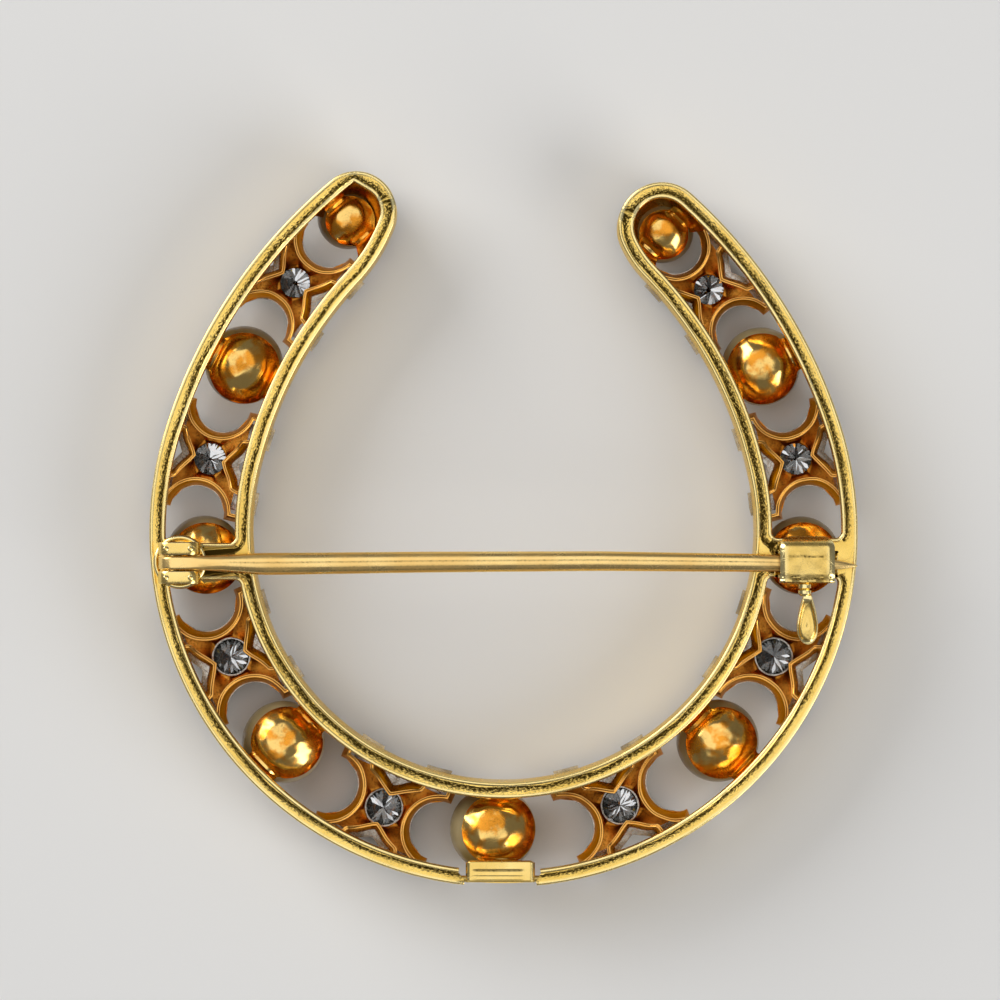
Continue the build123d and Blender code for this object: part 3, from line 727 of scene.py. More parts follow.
@dataclass(frozen=True)
class DiamondFinish:
    """Clear cut stone with painted reflections: the way each facet faces sets how dark its colour
    is.
    """

    name: str = "cut_diamond"
    dark: Triple = (0.03, 0.03, 0.028)
    light: Triple = (1.0, 1.0, 1.0)
    refraction: float = 2.42

    def build(self) -> Material:
        """Wire the material: noise of the facet's own normal, drawn apart, picks the painted dark
        or the painted bright reflection.
        """
        maker = MaterialMaker(self.name)
        facing = maker.node("ShaderNodeNewGeometry").outputs["True Normal"]
        dice = maker.noise(facing, 0.0, Scale=4.0)
        painted_glint = maker.times(maker.minus(dice, 0.47), 16.0, clamp=True)
        maker.shine(Base_Color=maker.mix(painted_glint, self.dark, self.light), Roughness=0.0)
        maker.shine(IOR=self.refraction, Transmission_Weight=1.0)
        return maker.material


@dataclass(frozen=True)
class WhiteGoldFinish:
    """Polished white metal with fine wear."""

    name: str = "white_gold"
    colour: Triple = (0.50, 0.46, 0.40)
    deep: Triple = (0.26, 0.23, 0.19)

    def build(self, groups: SharedGroups) -> Material:
        """Wire the material, as GoldFinish.build does."""
        maker = MaterialMaker(self.name)
        tone = maker.group(groups.tone, Scale=900.0).outputs["Tone"]
        scratches = maker.group(groups.scratches, Scale=1200.0, Level=0.60).outputs
        rough = maker.plus(0.12, maker.times(scratches["Mask"], 0.2))
        rough = maker.plus(rough, maker.times(tone, 0.1))
        colour = maker.mix(tone, self.colour, self.deep)
        maker.shine(Metallic=1.0, Base_Color=colour, Roughness=rough)
        maker.bump(scratches["Height"], 0.003 * MM)
        return maker.material


@dataclass(frozen=True)
class Finishes:
    """All materials of the brooch."""

    rim: Material
    inner: Material
    cup: Material
    fitting: Material
    pin: Material
    white: Material
    pearl: Material
    diamond: Material

    @classmethod
    def build(cls) -> "Finishes":
        """Make every material once."""
        groups = SharedGroups.build()
        pale = GoldFinish(
            name="pale_rim_gold",
            colour=(0.95, 0.67, 0.185),
            deep=(0.88, 0.585, 0.13),
            shade_and_tarnish=(0.045, 0.027, 0.004),
            roughness=0.20,
            satin=0.10,
            scratch=0.8,
            dents=0.004 * MM,
        )
        # Star box gold: the rim's gold painted a deeper orange, as painted shade and painted
        # reflection of gold in gold.
        inner = replace(
            pale,
            name="wall_gold_with_painted_shade",
            colour=(0.83, 0.36, 0.05),
            deep=(0.50, 0.17, 0.015),
            shade_and_tarnish=(0.10, 0.03, 0.003),
            worn=(0.98, 0.60, 0.18),
            roughness=0.17,
            scratch=0.3,
            dents=0.02 * MM,
        )
        cup = replace(
            inner,
            name="cup_gold",
            colour=(1.0, 0.66, 0.20),
            deep=(0.90, 0.36, 0.035),
            roughness=0.13,
            cloud=950.0,
            crisp=3.0,
            dents=0.035 * MM,
        )
        fitting = replace(
            pale,
            name="fitting_gold",
            colour=(0.97, 0.73, 0.27),
            deep=(0.86, 0.58, 0.15),
            satin=0.06,
            dents=0.012 * MM,
        )
        pin = replace(
            pale, name="pin_gold", colour=(1.0, 0.72, 0.29), deep=(0.97, 0.64, 0.22), roughness=0.24
        )
        metals = (pale, inner, cup, fitting, pin, WhiteGoldFinish(), PearlFinish())
        return cls(*(finish.build(groups) for finish in metals), DiamondFinish().build())


# The band: two rims on thin walls, with cross bars


@dataclass(frozen=True)
class ArmEnd:
    """End of one arm: its height, its round, the long round of its inner flank, and its opening."""

    top: float
    round: float
    flank: float
    pointed: bool


@dataclass(frozen=True)
class CrossBar:
    """Cross bar between the rims, by its lower and upper edge."""

    low: float
    high: float


@dataclass
class Band:
    """The horseshoe band with its rims, walls and cross bars."""

    outer_r: float = 17.715
    outer_arm: Point = (-8.250, -2.6006)
    inner_r: float = 12.635
    inner_y: float = 0.150
    inner_arm: Point = (-7.700, -1.4504)
    right_end: ArmEnd = ArmEnd(17.55, 2.20, 5.80, False)
    left_end: ArmEnd = ArmEnd(18.10, 2.00, 8.60, True)
    point_angle: float = 60.0
    right_bar: CrossBar = CrossBar(-2.20, -0.25)
    left_bar: CrossBar = CrossBar(-2.35, -0.50)
    corner: float = 0.30
    rim_width: float = 0.80
    rim_back: float = 4.90
    rim_front: float = 4.35
    wall: float = 0.22
    wall_front: float = 1.45
    bevel: float = 0.10
    lip: float = 0.17
    dish: float = 0.028
    shelf: float = 0.23
    gap: Point = (-1.98, 1.66)
    gap_inner: Point = (-2.22, 1.84)
    sill: float = 0.15
    step: float = 0.22

    @property
    def outer_arm_r(self) -> float:
        """Radius of the outer side of the arms."""
        return self.outer_r + float(np.hypot(*self.outer_arm))

    @property
    def inner_arm_r(self) -> float:
        """Radius of the inner side of the arms."""
        return self.inner_r + float(np.hypot(self.inner_arm[0], self.inner_arm[1] - self.inner_y))

    @property
    def outer_joint(self) -> float:
        """Angle at which the outer round runs on into an arm."""
        return bearing(self.outer_arm, (0, 0))

    @property
    def inner_joint(self) -> float:
        """Angle at which the inner round runs on into an arm."""
        return bearing(self.inner_arm, (0, self.inner_y))

    def arm(self, end: ArmEnd) -> list[Arc]:
        """Outline of a right-hand arm, from the outer round to the inner round."""
        round_y = end.top - end.round
        slant, rise = self.outer_arm_r - end.round, round_y - self.outer_arm[1]
        reach = float(np.sqrt(slant**2 - rise**2))
        tip = (self.outer_arm[0] + reach, round_y)
        radii = (end.flank - end.round, self.inner_arm_r + end.flank)
        flank = circles_meet(tip, radii[0], self.inner_arm, radii[1])
        turns = (bearing(flank, tip) % 360, bearing(flank, self.inner_arm) % 360)
        return [
            Arc(self.outer_arm, self.outer_arm_r, self.outer_joint, bearing(self.outer_arm, tip)),
            Arc(tip, end.round, bearing(self.outer_arm, tip), turns[0]),
            Arc(flank, end.flank, turns[0], turns[1]),
            Arc(self.inner_arm, self.inner_arm_r, bearing(self.inner_arm, flank), self.inner_joint),
        ]

    def outer_angle(self, x: float, radius: float) -> float:
        """Angle in degrees of the point with that x on a circle's lower half."""
        return -90 + float(np.degrees(np.arcsin(x / radius)))

    def outline(self) -> list[Arc]:
        """Outline of the band, from the right of the bail's gap round to its left."""
        left = [arc.mirrored() for arc in reversed(self.arm(self.left_end))]
        start = self.outer_angle(self.gap[1], self.outer_r)
        first = Arc((0, 0), self.outer_r, start, self.outer_joint)
        bottom = Arc((0, self.inner_y), self.inner_r, self.inner_joint, -180 - self.inner_joint)
        end = self.outer_angle(self.gap[0], self.outer_r) + 360
        last = Arc((0, 0), self.outer_r, 180 - self.outer_joint, end)
        return [first, *self.arm(self.right_end), bottom, *left, last]

    def corner_arc(self, side: int, level: float, up: int, outer: bool) -> Arc:
        """Soft corner between a rim and a cross bar.

        Args:
            side: 1 for the right-hand side, -1 for the left.
            level: Height of the bar's edge.
            up: 1 where the opening is above the edge, -1 where it is below.
            outer: Whether the corner is at the outer rim.

        Returns:
            The arc, run clockwise round the opening.
        """
        y = level + up * self.corner
        if outer:
            middle, radius = (0.0, 0.0), self.outer_r - self.rim_width - self.corner
        else:
            middle, radius = (0.0, self.inner_y), self.inner_r + self.rim_width + self.corner
        x = side * float(np.sqrt(radius**2 - (y - middle[1]) ** 2))
        at_rim = bearing(middle, (x, y)) if outer else bearing((x, y), middle)
        at_bar = -90.0 * up
        first, last = (at_rim, at_bar) if outer == (side * up > 0) else (at_bar, at_rim)
        while last > first:
            last -= 360
        while first - last >= 360:
            last += 360
        return Arc((x, y), self.corner, first, last)

    def arm_opening(self, end: ArmEnd, level: float) -> list[Arc | Line]:
        """Opening of a right-hand arm above its cross bar, run clockwise."""
        outer, tip, flank, inner = [arc.at(self.rim_width).back() for arc in self.arm(end)]
        low_outer = self.corner_arc(1, level, 1, True)
        low_inner = self.corner_arc(1, level, 1, False)
        start = low_inner.end + 180
        track: list[Arc | Line] = [
            Arc((0, self.inner_y), self.inner_r + self.rim_width, start, self.inner_joint),
            inner,
            flank,
        ]
        if end.pointed:
            track += self.pointed_end(tip, outer)
        else:
            track += [tip, outer]
        track.append(Arc((0, 0), self.outer_r - self.rim_width, self.outer_joint, low_outer.start))
        track += [low_outer, Line(self.foot(low_outer, 1), self.foot(low_inner, 1)), low_inner]
        return track

    def pointed_end(self, tip: Arc, outer: Arc) -> list[Arc | Line]:
        """Pointed end of an opening: the round is left on a tangent, which meets the outer side."""
        ray = unit(np.radians(180 - self.point_angle))
        leave, along = np.array(tip.centre) + tip.radius * ray, right_of(ray)
        offset = leave - np.array(outer.centre)
        half = float(offset @ along)
        run = -half + float(np.sqrt(half**2 - (offset @ offset - outer.radius**2)))
        point = leave + run * along
        turn = bearing(outer.centre, (point[0], point[1]))
        return [
            Arc(tip.centre, tip.radius, tip.start, 180 - self.point_angle),
            Line((leave[0], leave[1]), (point[0], point[1])),
            Arc((point[0], point[1]), 0.0, 180 - self.point_angle, turn),
            Arc(outer.centre, outer.radius, turn, outer.end),
        ]

    def foot(self, arc: Arc, up: int) -> Point:
        """Point of a soft corner on the edge of its cross bar."""
        return (arc.centre[0], arc.centre[1] - up * self.corner)

    def round_opening(self) -> list[Arc | Line]:
        """Opening round the bottom, run clockwise from the left of the bail's gap to its right."""
        radius = self.outer_r - self.rim_width
        left_outer, left_inner, right_outer, right_inner = (
            self.corner_arc(side, bar.low, -1, outer)
            for side, bar in ((-1, self.left_bar), (1, self.right_bar))
            for outer in (True, False)
        )
        start, end = left_inner.end - 180, right_inner.start - 180
        gap = [self.outer_angle(x, radius) for x in self.gap_inner]
        return [
            Arc((0, 0), radius, gap[0], left_outer.start % 360 - 360),
            left_outer,
            Line(self.foot(left_outer, -1), self.foot(left_inner, -1)),
            left_inner,
            Arc((0, self.inner_y), self.inner_r + self.rim_width, start, end),
            right_inner,
            Line(self.foot(right_inner, -1), self.foot(right_outer, -1)),
            right_outer,
            Arc((0, 0), radius, right_outer.end, gap[1]),
        ]

    def tracks(self) -> dict[str, tuple[np.ndarray, np.ndarray]]:
        """Sampled outline and openings, by name."""
        left = self.arm_opening(self.left_end, self.left_bar.high)
        found = {
            "outline": self.outline(),
            "round": self.round_opening(),
            "right": self.arm_opening(self.right_end, self.right_bar.high),
            "left": [segment.mirrored() for segment in reversed(left)],
        }
        return {name: sample_track(track, self.step) for name, track in found.items()}

    def local_outline(self, place: np.ndarray, out: np.ndarray) -> np.ndarray:
        """Outline of the band, closed behind the bail, seen from a place with outwards along +Y."""
        ends = (self.outer_angle(x, self.outer_r) for x in self.gap)
        points, _ = sample_track([*self.outline(), Arc((0, 0), self.outer_r, *ends)], 0.05)
        return seen_from(points - place, out)

    @staticmethod
    def crossings(outline: np.ndarray, x: float) -> tuple[float, float]:
        """Nearest crossings of the line at x with the outline, on the inner and the outer side."""
        first, second = outline[:-1], outline[1:]
        hit = (first[:, 0] - x) * (second[:, 0] - x) <= 0
        a, b = first[hit], second[hit]
        run = np.where(np.abs(b[:, 0] - a[:, 0]) < 1e-9, 1e-9, b[:, 0] - a[:, 0])
        y = a[:, 1] + (x - a[:, 0]) / run * (b[:, 1] - a[:, 1])
        return float(y[y < 0].max()), float(y[y > 0].min())

    def outward(self, point: np.ndarray) -> np.ndarray:
        """Outward direction of the band at a drawn point, whose height is not read."""
        x, y = float(point[0]), float(point[1])
        in_arm = bearing((0, 0), (abs(x), y)) > self.outer_joint
        side = 1.0 if x > 0 else -1.0
        middle = np.array([side * self.outer_arm[0], self.outer_arm[1]]) if in_arm else np.zeros(2)
        offset = np.array([x, y]) - middle
        return offset / float(np.hypot(*offset))


@dataclass
class RimBuilder:
    """Builds the rims, cross bars and walls of a band as one soldered piece."""

    band: Band
    tracks: dict[str, tuple[np.ndarray, np.ndarray]] = field(init=False)

    def __post_init__(self) -> None:
        """Sample the outlines once."""
        self.tracks = self.band.tracks()

    def back_level(self, plan: np.ndarray) -> np.ndarray:
        """Fall of the back surface at the two slanted ends of the outer rim: a short ramp."""
        band = self.band
        x, at_bottom = plan[..., 0], plan[..., 1] < -(band.outer_r - 2.0)
        before, ramp, fall = 0.10, 0.45, 0.16
        left = np.clip((x - band.gap_inner[0] + before) / ramp, 0, 1) * (x < 0)
        right = np.clip((band.gap_inner[1] + before - x) / ramp, 0, 1) * (x > 0)
        return -fall * at_bottom * np.maximum(left, right) ** 2

    def edge_profile(self, wall: bool) -> list[Triple]:
        """Section at an edge of the rim, from its underside over the bevel and lip to the dish.

        Args:
            wall: Whether the thin wall stands under this edge.

        Returns:
            Inset, height and edge mask of each point; the mask paints a highlight on the worn bevel
            and lip.
        """
        b = self.band
        top, side, half_way = b.rim_back, b.rim_back - b.bevel, 3.4
        if wall:
            return [
                (b.shelf, b.rim_front, 0.0),
                (b.wall, b.rim_front - 0.002, 0.0),
                (b.wall, half_way, 0.0),
                (b.wall, b.wall_front + 0.02, 0.0),
                (b.wall - 0.02, b.wall_front, 0.2),
                (0.02, b.wall_front, 0.2),
                (0.0, b.wall_front + 0.02, 0.2),
                (0.0, half_way, 0.0),
                (0.0, side - 0.03, 0.1),
                (0.004, side + 0.020, 0.5),
                (0.018, side + 0.058, 0.9),
                (0.045, top - 0.012, 1.0),
                (0.090, top - 0.002, 1.0),
                (0.130, top - 0.006, 0.9),
                (0.170, top - b.dish + 0.008, 0.5),
                (0.200, top - b.dish + 0.001, 0.15),
                (b.shelf, top - b.dish, 0.0),
            ]
        return [
            (b.shelf, b.rim_front, 0.0),
            (0.01, b.rim_front, 0.0),
            (0.0, b.rim_front + 0.01, 0.0),
            (0.0, side - 0.03, 0.2),
            (0.005, side + 0.020, 0.6),
            (0.018, side + 0.055, 1.0),
            (0.042, top - 0.012, 1.0),
            (0.075, top, 1.0),
            (b.lip - 0.04, top, 1.0),
            (b.lip - 0.01, top - 0.004, 0.8),
            (b.lip + 0.015, top - 0.5 * b.dish, 0.3),
            (b.lip + 0.04, top - b.dish + 0.002, 0.0),
            (b.shelf, top - b.dish, 0.0),
        ]

    def stripe(self, plan: np.ndarray) -> tuple[np.ndarray, np.ndarray]:
        """Place in the painted dark line of shade that follows the openings, and the way along the
        rim.

        On the outer rim the line's crisp side is next to the opening and on the inner rim it is
        the far side; round the tips one runs into the other. The left cross bar is dark all over
        and the right one in its left part.
        """
        outline, normals = self.tracks["outline"]
        openings = np.concatenate([self.tracks[k][0] for k in ("round", "right", "left")])
        flat = plan.reshape(-1, 2)
        _, nearest = self.nearest(flat, outline)
        gap, _ = self.nearest(flat, openings)
        run = np.concatenate([[0.0], np.cumsum(np.hypot(*np.diff(outline, axis=0).T))])
        tangents = np.stack([normals[:, 1], -normals[:, 0]], axis=1)
        along = run[nearest] + np.einsum("ij,ij->i", flat - outline[nearest], tangents[nearest])
        facing = np.einsum("ij,ij->i", normals[nearest], flat) / np.hypot(*flat.T)
        inner_share = np.clip(0.5 + 1.2 * facing, 0, 1)
        height = np.clip((flat[:, 1] + 3.0) / 12.0, 0, 1)
        outer_place = (gap - 0.22 + 0.05 * height) / (0.24 + 0.08 * height)
        inner_place = (0.60 - 0.03 * height - gap) / (0.33 - 0.03 * height)
        place = outer_place + inner_share * (inner_place - outer_place)
        in_bar = (np.hypot(*(flat - outline[nearest]).T) > 0.8) & (gap > 0.10)
        place = np.where(in_bar & (flat[:, 0] < 0), 0.30, place)
        place = np.where(in_bar & (flat[:, 0] > 0), 0.25 + 0.9 * (flat[:, 0] - 13.4), place)
        return place.reshape(plan.shape[:-1]), along.reshape(plan.shape[:-1])

    @staticmethod
    def nearest(plan: np.ndarray, targets: np.ndarray) -> tuple[np.ndarray, np.ndarray]:
        """Distance from each point to the nearest target, and that target's index."""
        found, index = [], []
        for part in np.array_split(plan, max(1, len(plan) // 1500)):
            gaps = np.hypot(*(part[:, None] - targets[None]).transpose(2, 0, 1))
            index.append(gaps.argmin(axis=1))
            found.append(gaps.min(axis=1))
        return np.concatenate(found), np.concatenate(index)

    def strip(self, name: str) -> Patch:
        """Carry the edge section along one track: point plus inset times normal, at its height."""
        points, normals = self.tracks[name]
        closed = name in ("right", "left")
        if closed:
            points, normals = points[:-1], normals[:-1]
        section = np.array(self.edge_profile(wall=name == "outline"))
        plan = points[:, None, :] + section[None, :, 0, None] * normals[:, None, :]
        height = np.broadcast_to(section[None, :, 1], plan.shape[:2]).copy()
        on_back = section[:, 1] > self.band.rim_back - self.band.bevel - 0.05
        height[:, on_back] += self.back_level(plan[:, on_back])
        # Edge mask: painted highlight on the worn bevel and lip.
        edge = np.broadcast_to(section[None, :, 2], plan.shape[:2]).copy()
        edge *= 0.75 + 0.25 * soft_noise(plan, 1.7, 3)
        across, along = -np.ones(plan.shape[:2]), np.zeros(plan.shape[:2])
        across[:, on_back], along[:, on_back] = self.stripe(plan[:, on_back])
        masks = {"edge": edge, "across": across, "along": along}
        return Patch(np.dstack([plan, height]), closed_rows=closed, **masks)

    def shelf_loops(self) -> list[np.ndarray]:
        """Loops round the flat field between the edge sections; the first one is the outer loop."""
        loops = {k: p + self.band.shelf * n for k, (p, n) in self.tracks.items()}
        outer = np.concatenate([loops["outline"], loops["round"]])
        return [outer, loops["right"][:-1], loops["left"][:-1]]

    def field(self) -> tuple[np.ndarray, np.ndarray]:
        """Fill the flat field with triangles, with rows of points along the rims between the loops.

        Returns:
            Points in the plane, and triangles as their indices.
        """
        loops = self.shelf_loops()
        starts = np.cumsum([0] + [len(loop) for loop in loops])
        border = np.concatenate(loops)
        edges = []
        for start, loop in zip(starts, loops):
            ring = np.arange(len(loop)) + start
            edges.append(np.stack([ring, np.roll(ring, -1)], axis=1))
        edges = np.concatenate(edges)
        outline, normals = self.tracks["outline"]
        rows = [outline + inset * normals for inset in (0.31, 0.40, 0.49)]
        bar_columns = np.arange(12.9, 17.4, 0.3)
        for bar, side in ((self.band.left_bar, -1), (self.band.right_bar, 1)):
            xs, ys = np.meshgrid(bar_columns * side, np.arange(bar.low + 0.3, bar.high, 0.22))
            rows.append(np.stack([xs.ravel(), ys.ravel()], axis=1))
        inner = np.concatenate(rows)
        inner = inner[self.inside(inner, border, edges)]
        least_gap = 0.055
        inner = inner[self.nearest(inner, border)[0] > least_gap]
        points = np.concatenate([border, inner])
        result = delaunay_2d_cdt([Vector(p) for p in points], edges.tolist(), [], 0, 1e-6)
        plan = np.array([v[:] for v in result[0]])
        triangles = np.array([f for f in result[2] if len(f) == 3])
        centres = plan[triangles].mean(axis=1)
        return plan, triangles[self.inside(centres, border, edges)]

    @staticmethod
    def inside(plan: np.ndarray, border: np.ndarray, edges: np.ndarray) -> np.ndarray:
        """Whether each point is inside the loops: an odd number of edges crosses a ray from it."""
        a, b = border[edges[:, 0]], border[edges[:, 1]]
        rise = np.where(b[:, 1] == a[:, 1], 1e-12, b[:, 1] - a[:, 1])
        odd = []
        for part in np.array_split(plan, max(1, len(plan) // 2000)):
            x, y = part[:, :1], part[:, 1:]
            spans = (a[:, 1] > y) != (b[:, 1] > y)
            cross = a[:, 0] + (y - a[:, 1]) / rise * (b[:, 0] - a[:, 0])
            odd.append((spans & (x < cross)).sum(axis=1) % 2 == 1)
        return np.concatenate(odd)

    def end_caps(self) -> list[Fill]:
        """Close the two cut ends of the outer rim and its wall with triangles."""
        caps = []
        outline, opening = self.strip("outline").points, self.strip("round").points
        for row_a, row_b in ((outline[0], opening[-1]), (outline[-1], opening[0])):
            loop = np.concatenate([row_a, row_b[::-1]])
            flat = np.stack([self.section_inset(), loop[:, 2]], axis=1)
            count = len(flat)
            edges = [[i, (i + 1) % count] for i in range(count)]
            result = delaunay_2d_cdt([Vector(p) for p in flat], edges, [], 1, 1e-7)
            origin = [ids[0] if ids else 0 for ids in result[3]]
            triangles = np.array([[origin[i] for i in f] for f in result[2] if len(f) == 3])
            LOG.info("end cap: %d triangles", len(triangles))
            caps.append(Fill(loop, triangles, edge=0.5))
        return caps

    def section_inset(self) -> np.ndarray:
        """Distance across the rim of both edge sections, for the closed end section."""
        outline = np.array(self.edge_profile(True))[:, 0]
        opening = self.band.rim_width - np.array(self.edge_profile(False))[::-1, 0]
        return np.concatenate([outline, opening])

    def sill(self) -> list[Patch]:
        """Foot of the outer wall across the bail's gap: a small box section along the round."""
        b, lap = self.band, 0.6
        ends = (b.outer_angle(b.gap[0] - lap, b.outer_r), b.outer_angle(b.gap[1] + lap, b.outer_r))
        section = np.array([(0.0, 0.0), (b.wall, 0.0), (b.wall, b.sill), (0.0, b.sill)])
        plan = unit(np.radians(np.linspace(*ends, 40)))[:, None] * (b.outer_r - section[:, :1])
        height = np.broadcast_to(b.wall_front + section[:, 1], plan.shape[:2])
        return capped(np.dstack([plan, height]))

    def build(self, layout: Layout, finishes: Finishes) -> bpy.types.Object:
        """Build the soldered piece of rims, walls and cross bars."""
        b = self.band
        plan, triangles = self.field()
        across, along = self.stripe(plan)
        top = b.rim_back - b.dish + self.back_level(plan)
        back = Fill(np.column_stack([plan, top]), triangles, across=across, along=along)
        under = Fill(np.column_stack([plan, np.full(len(plan), b.rim_front)]), triangles[:, ::-1])
        strips = [self.strip(name) for name in self.tracks]
        patches = [back, under, *strips, *self.end_caps(), *self.sill()]
        return Piece("rims_and_walls", patches, finishes.rim, nodes=("gallery",)).build(layout)


# Small solids from sections


def full_turn(count: int) -> np.ndarray:
    """Angles in radians round a circle, with the last one short of the first."""
    return np.linspace(0, 2 * np.pi, count, endpoint=False)


def ring_about(centre: Point, radii: Point, count: int) -> np.ndarray:
    """Loop round a centre: cosine and sine times the two radii, as an array of shape (count, 2)."""
    return np.array(centre) + np.array(radii) * unit(full_turn(count))


def round_box(
    low: Point, high: Point, radii: tuple[float, float, float, float], turns: int = 6
) -> np.ndarray:
    """Anticlockwise loop of a box with round corners.

    Args:
        low: Lowest corner.
        high: Highest corner.
        radii: Corner radii from the lowest corner anticlockwise.
        turns: Steps in each corner.

    Returns:
        Loop of shape (count, 2), with extra points along the four sides.
    """
    corners = (low, (high[0], low[1]), high, (low[0], high[1]))
    runs = []
    for (x, y), start, radius in zip(corners, (180, 270, 0, 90), radii):
        inward = np.array([1 if x == low[0] else -1, 1 if y == low[1] else -1])
        angle = np.radians(start + np.linspace(0, 90, turns + 1))
        runs.append(np.array([x, y]) + radius * (inward + unit(angle)))
    loop = []
    for run, following in zip(runs, runs[1:] + runs[:1]):
        share = np.linspace(0, 1, 8)[1:-1, None]
        loop += [run, run[-1] + share * (following[0] - run[-1])]
    return np.concatenate(loop)


def loop_normals(loop: np.ndarray) -> np.ndarray:
    """Inward unit normals of an anticlockwise loop: the chord past each point, turned left."""
    along = np.roll(loop, -1, axis=0) - np.roll(loop, 1, axis=0)
    normal = np.stack([-along[:, 1], along[:, 0]], axis=1)
    return normal / np.linalg.norm(normal, axis=1, keepdims=True)


class Axis(Enum):
    """Axis along which a section is carried."""

    X = "x"
    Y = "y"
    Z = "z"

    def place(self, plane: np.ndarray, along: np.ndarray) -> np.ndarray:
        """Put plane points, given as (y, z), (x, z) or (x, y), at their places along the axis."""
        first, second = plane[..., 0], plane[..., 1]
        order = {
            Axis.X: (along, first, second),
            Axis.Y: (first, along, second),
            Axis.Z: (first, second, along),
        }[self]
        return np.stack(np.broadcast_arrays(*order), axis=-1)


def swept(axis: Axis, rows: list[tuple[np.ndarray, float, float]]) -> tuple[np.ndarray, np.ndarray]:
    """Put curves at their places along an axis.

    Args:
        axis: Axis along which they are carried.
        rows: Curve of shape (count, 2), place and edge mask (a painted highlight) of each row.

    Returns:
        Grid of points, and edge mask of each point.
    """
    points = np.stack([axis.place(curve, np.full(len(curve), place)) for curve, place, _ in rows])
    return points, np.array([value for _, _, value in rows])[:, None] * np.ones(points.shape[1])


def prism(
    loop: np.ndarray, axis: Axis, low: float, high: float, bevel: float, rows: int = 2
) -> list[Patch]:
    """Carry a loop along an axis, drawn in by a bevel at both ends, with fans as end faces.

    Args:
        loop: Anticlockwise section.
        axis: Axis along which it is carried.
        low: Lower end.
        high: Upper end.
        bevel: Width of the worn bevel at both ends.
        rows: Rows of points between the bevels.

    Returns:
        The closed patches.
    """
    inset = np.concatenate([[bevel, 0.3 * bevel, 0.0], np.zeros(rows), [0.0, 0.3 * bevel, bevel]])
    middle = np.linspace(low + bevel, high - bevel, rows + 2)
    along = np.concatenate([[low, low + 0.3 * bevel], middle, [high - 0.3 * bevel, high]])
    section = loop[None] + inset[:, None, None] * loop_normals(loop)[None]
    points = axis.place(section, along[:, None])
    # Edge mask: painted highlight on the worn bevels.
    return capped(points, edge=np.clip(inset * 3 / bevel, 0, 1)[:, None] * np.ones(len(loop)))


def channel(
    outer: np.ndarray, inner: np.ndarray, axis: Axis, low: float, high: float, bevel: float
) -> list[Patch]:
    """Carry the band between two open curves along an axis, as a closed channel.

    Args:
        outer: Outer curve of shape (count, 2).
        inner: Inner curve with as many points.
        axis: Axis along which they are carried.
        low: Lower end.
        high: Upper end.
        bevel: Width of the worn bevel at both ends, taken off towards the middle of the band.

    Returns:
        The closed patches.
    """
    middle = (outer + inner) / 2
    half = np.linalg.norm(outer - inner, axis=1, keepdims=True) / 2
    worn = np.clip(bevel / half, 0, 0.9)
    outside, inside = (curve + worn * (middle - curve) for curve in (outer, inner))
    # Third column: edge mask, a painted highlight on the worn bevels.
    rows = [
        (outside, low, 1.0),
        (outer, low + bevel, 0.6),
        (outer, (low + high) / 2, 0.0),
        (outer, high - bevel, 0.6),
        (outside, high, 1.0),
        (inside, high, 1.0),
        (inner, high - bevel, 0.6),
        (inner, low + bevel, 0.6),
        (inside, low, 1.0),
    ]
    points, edge = swept(axis, rows)
    return [Patch(points, closed_rows=True, edge=edge), fan(points[:, 0]), fan(points[:, -1])]


def disc_form(loop: np.ndarray, profile: list[Triple]) -> Patch:
    """Closed body over a loop: the loop drawn towards its middle by shares, at given heights.

    Args:
        loop: Anticlockwise outline in the plane.
        profile: Share of the outline (0 is its middle), height and edge mask (a painted highlight)
            of each row, from the middle of the front over the outside to the middle of the back.

    Returns:
        The closed patch.
    """
    rows = np.array(profile)
    middle = loop.mean(axis=0)
    plan = middle + rows[:, 0, None, None] * (loop - middle)[None]
    height = np.broadcast_to(rows[:, 1, None], plan.shape[:2])
    edge = np.broadcast_to(rows[:, 2, None], plan.shape[:2])
    return Patch(np.dstack([plan, height]), closed_columns=True, edge=edge.copy())


# Star boxes behind the diamonds


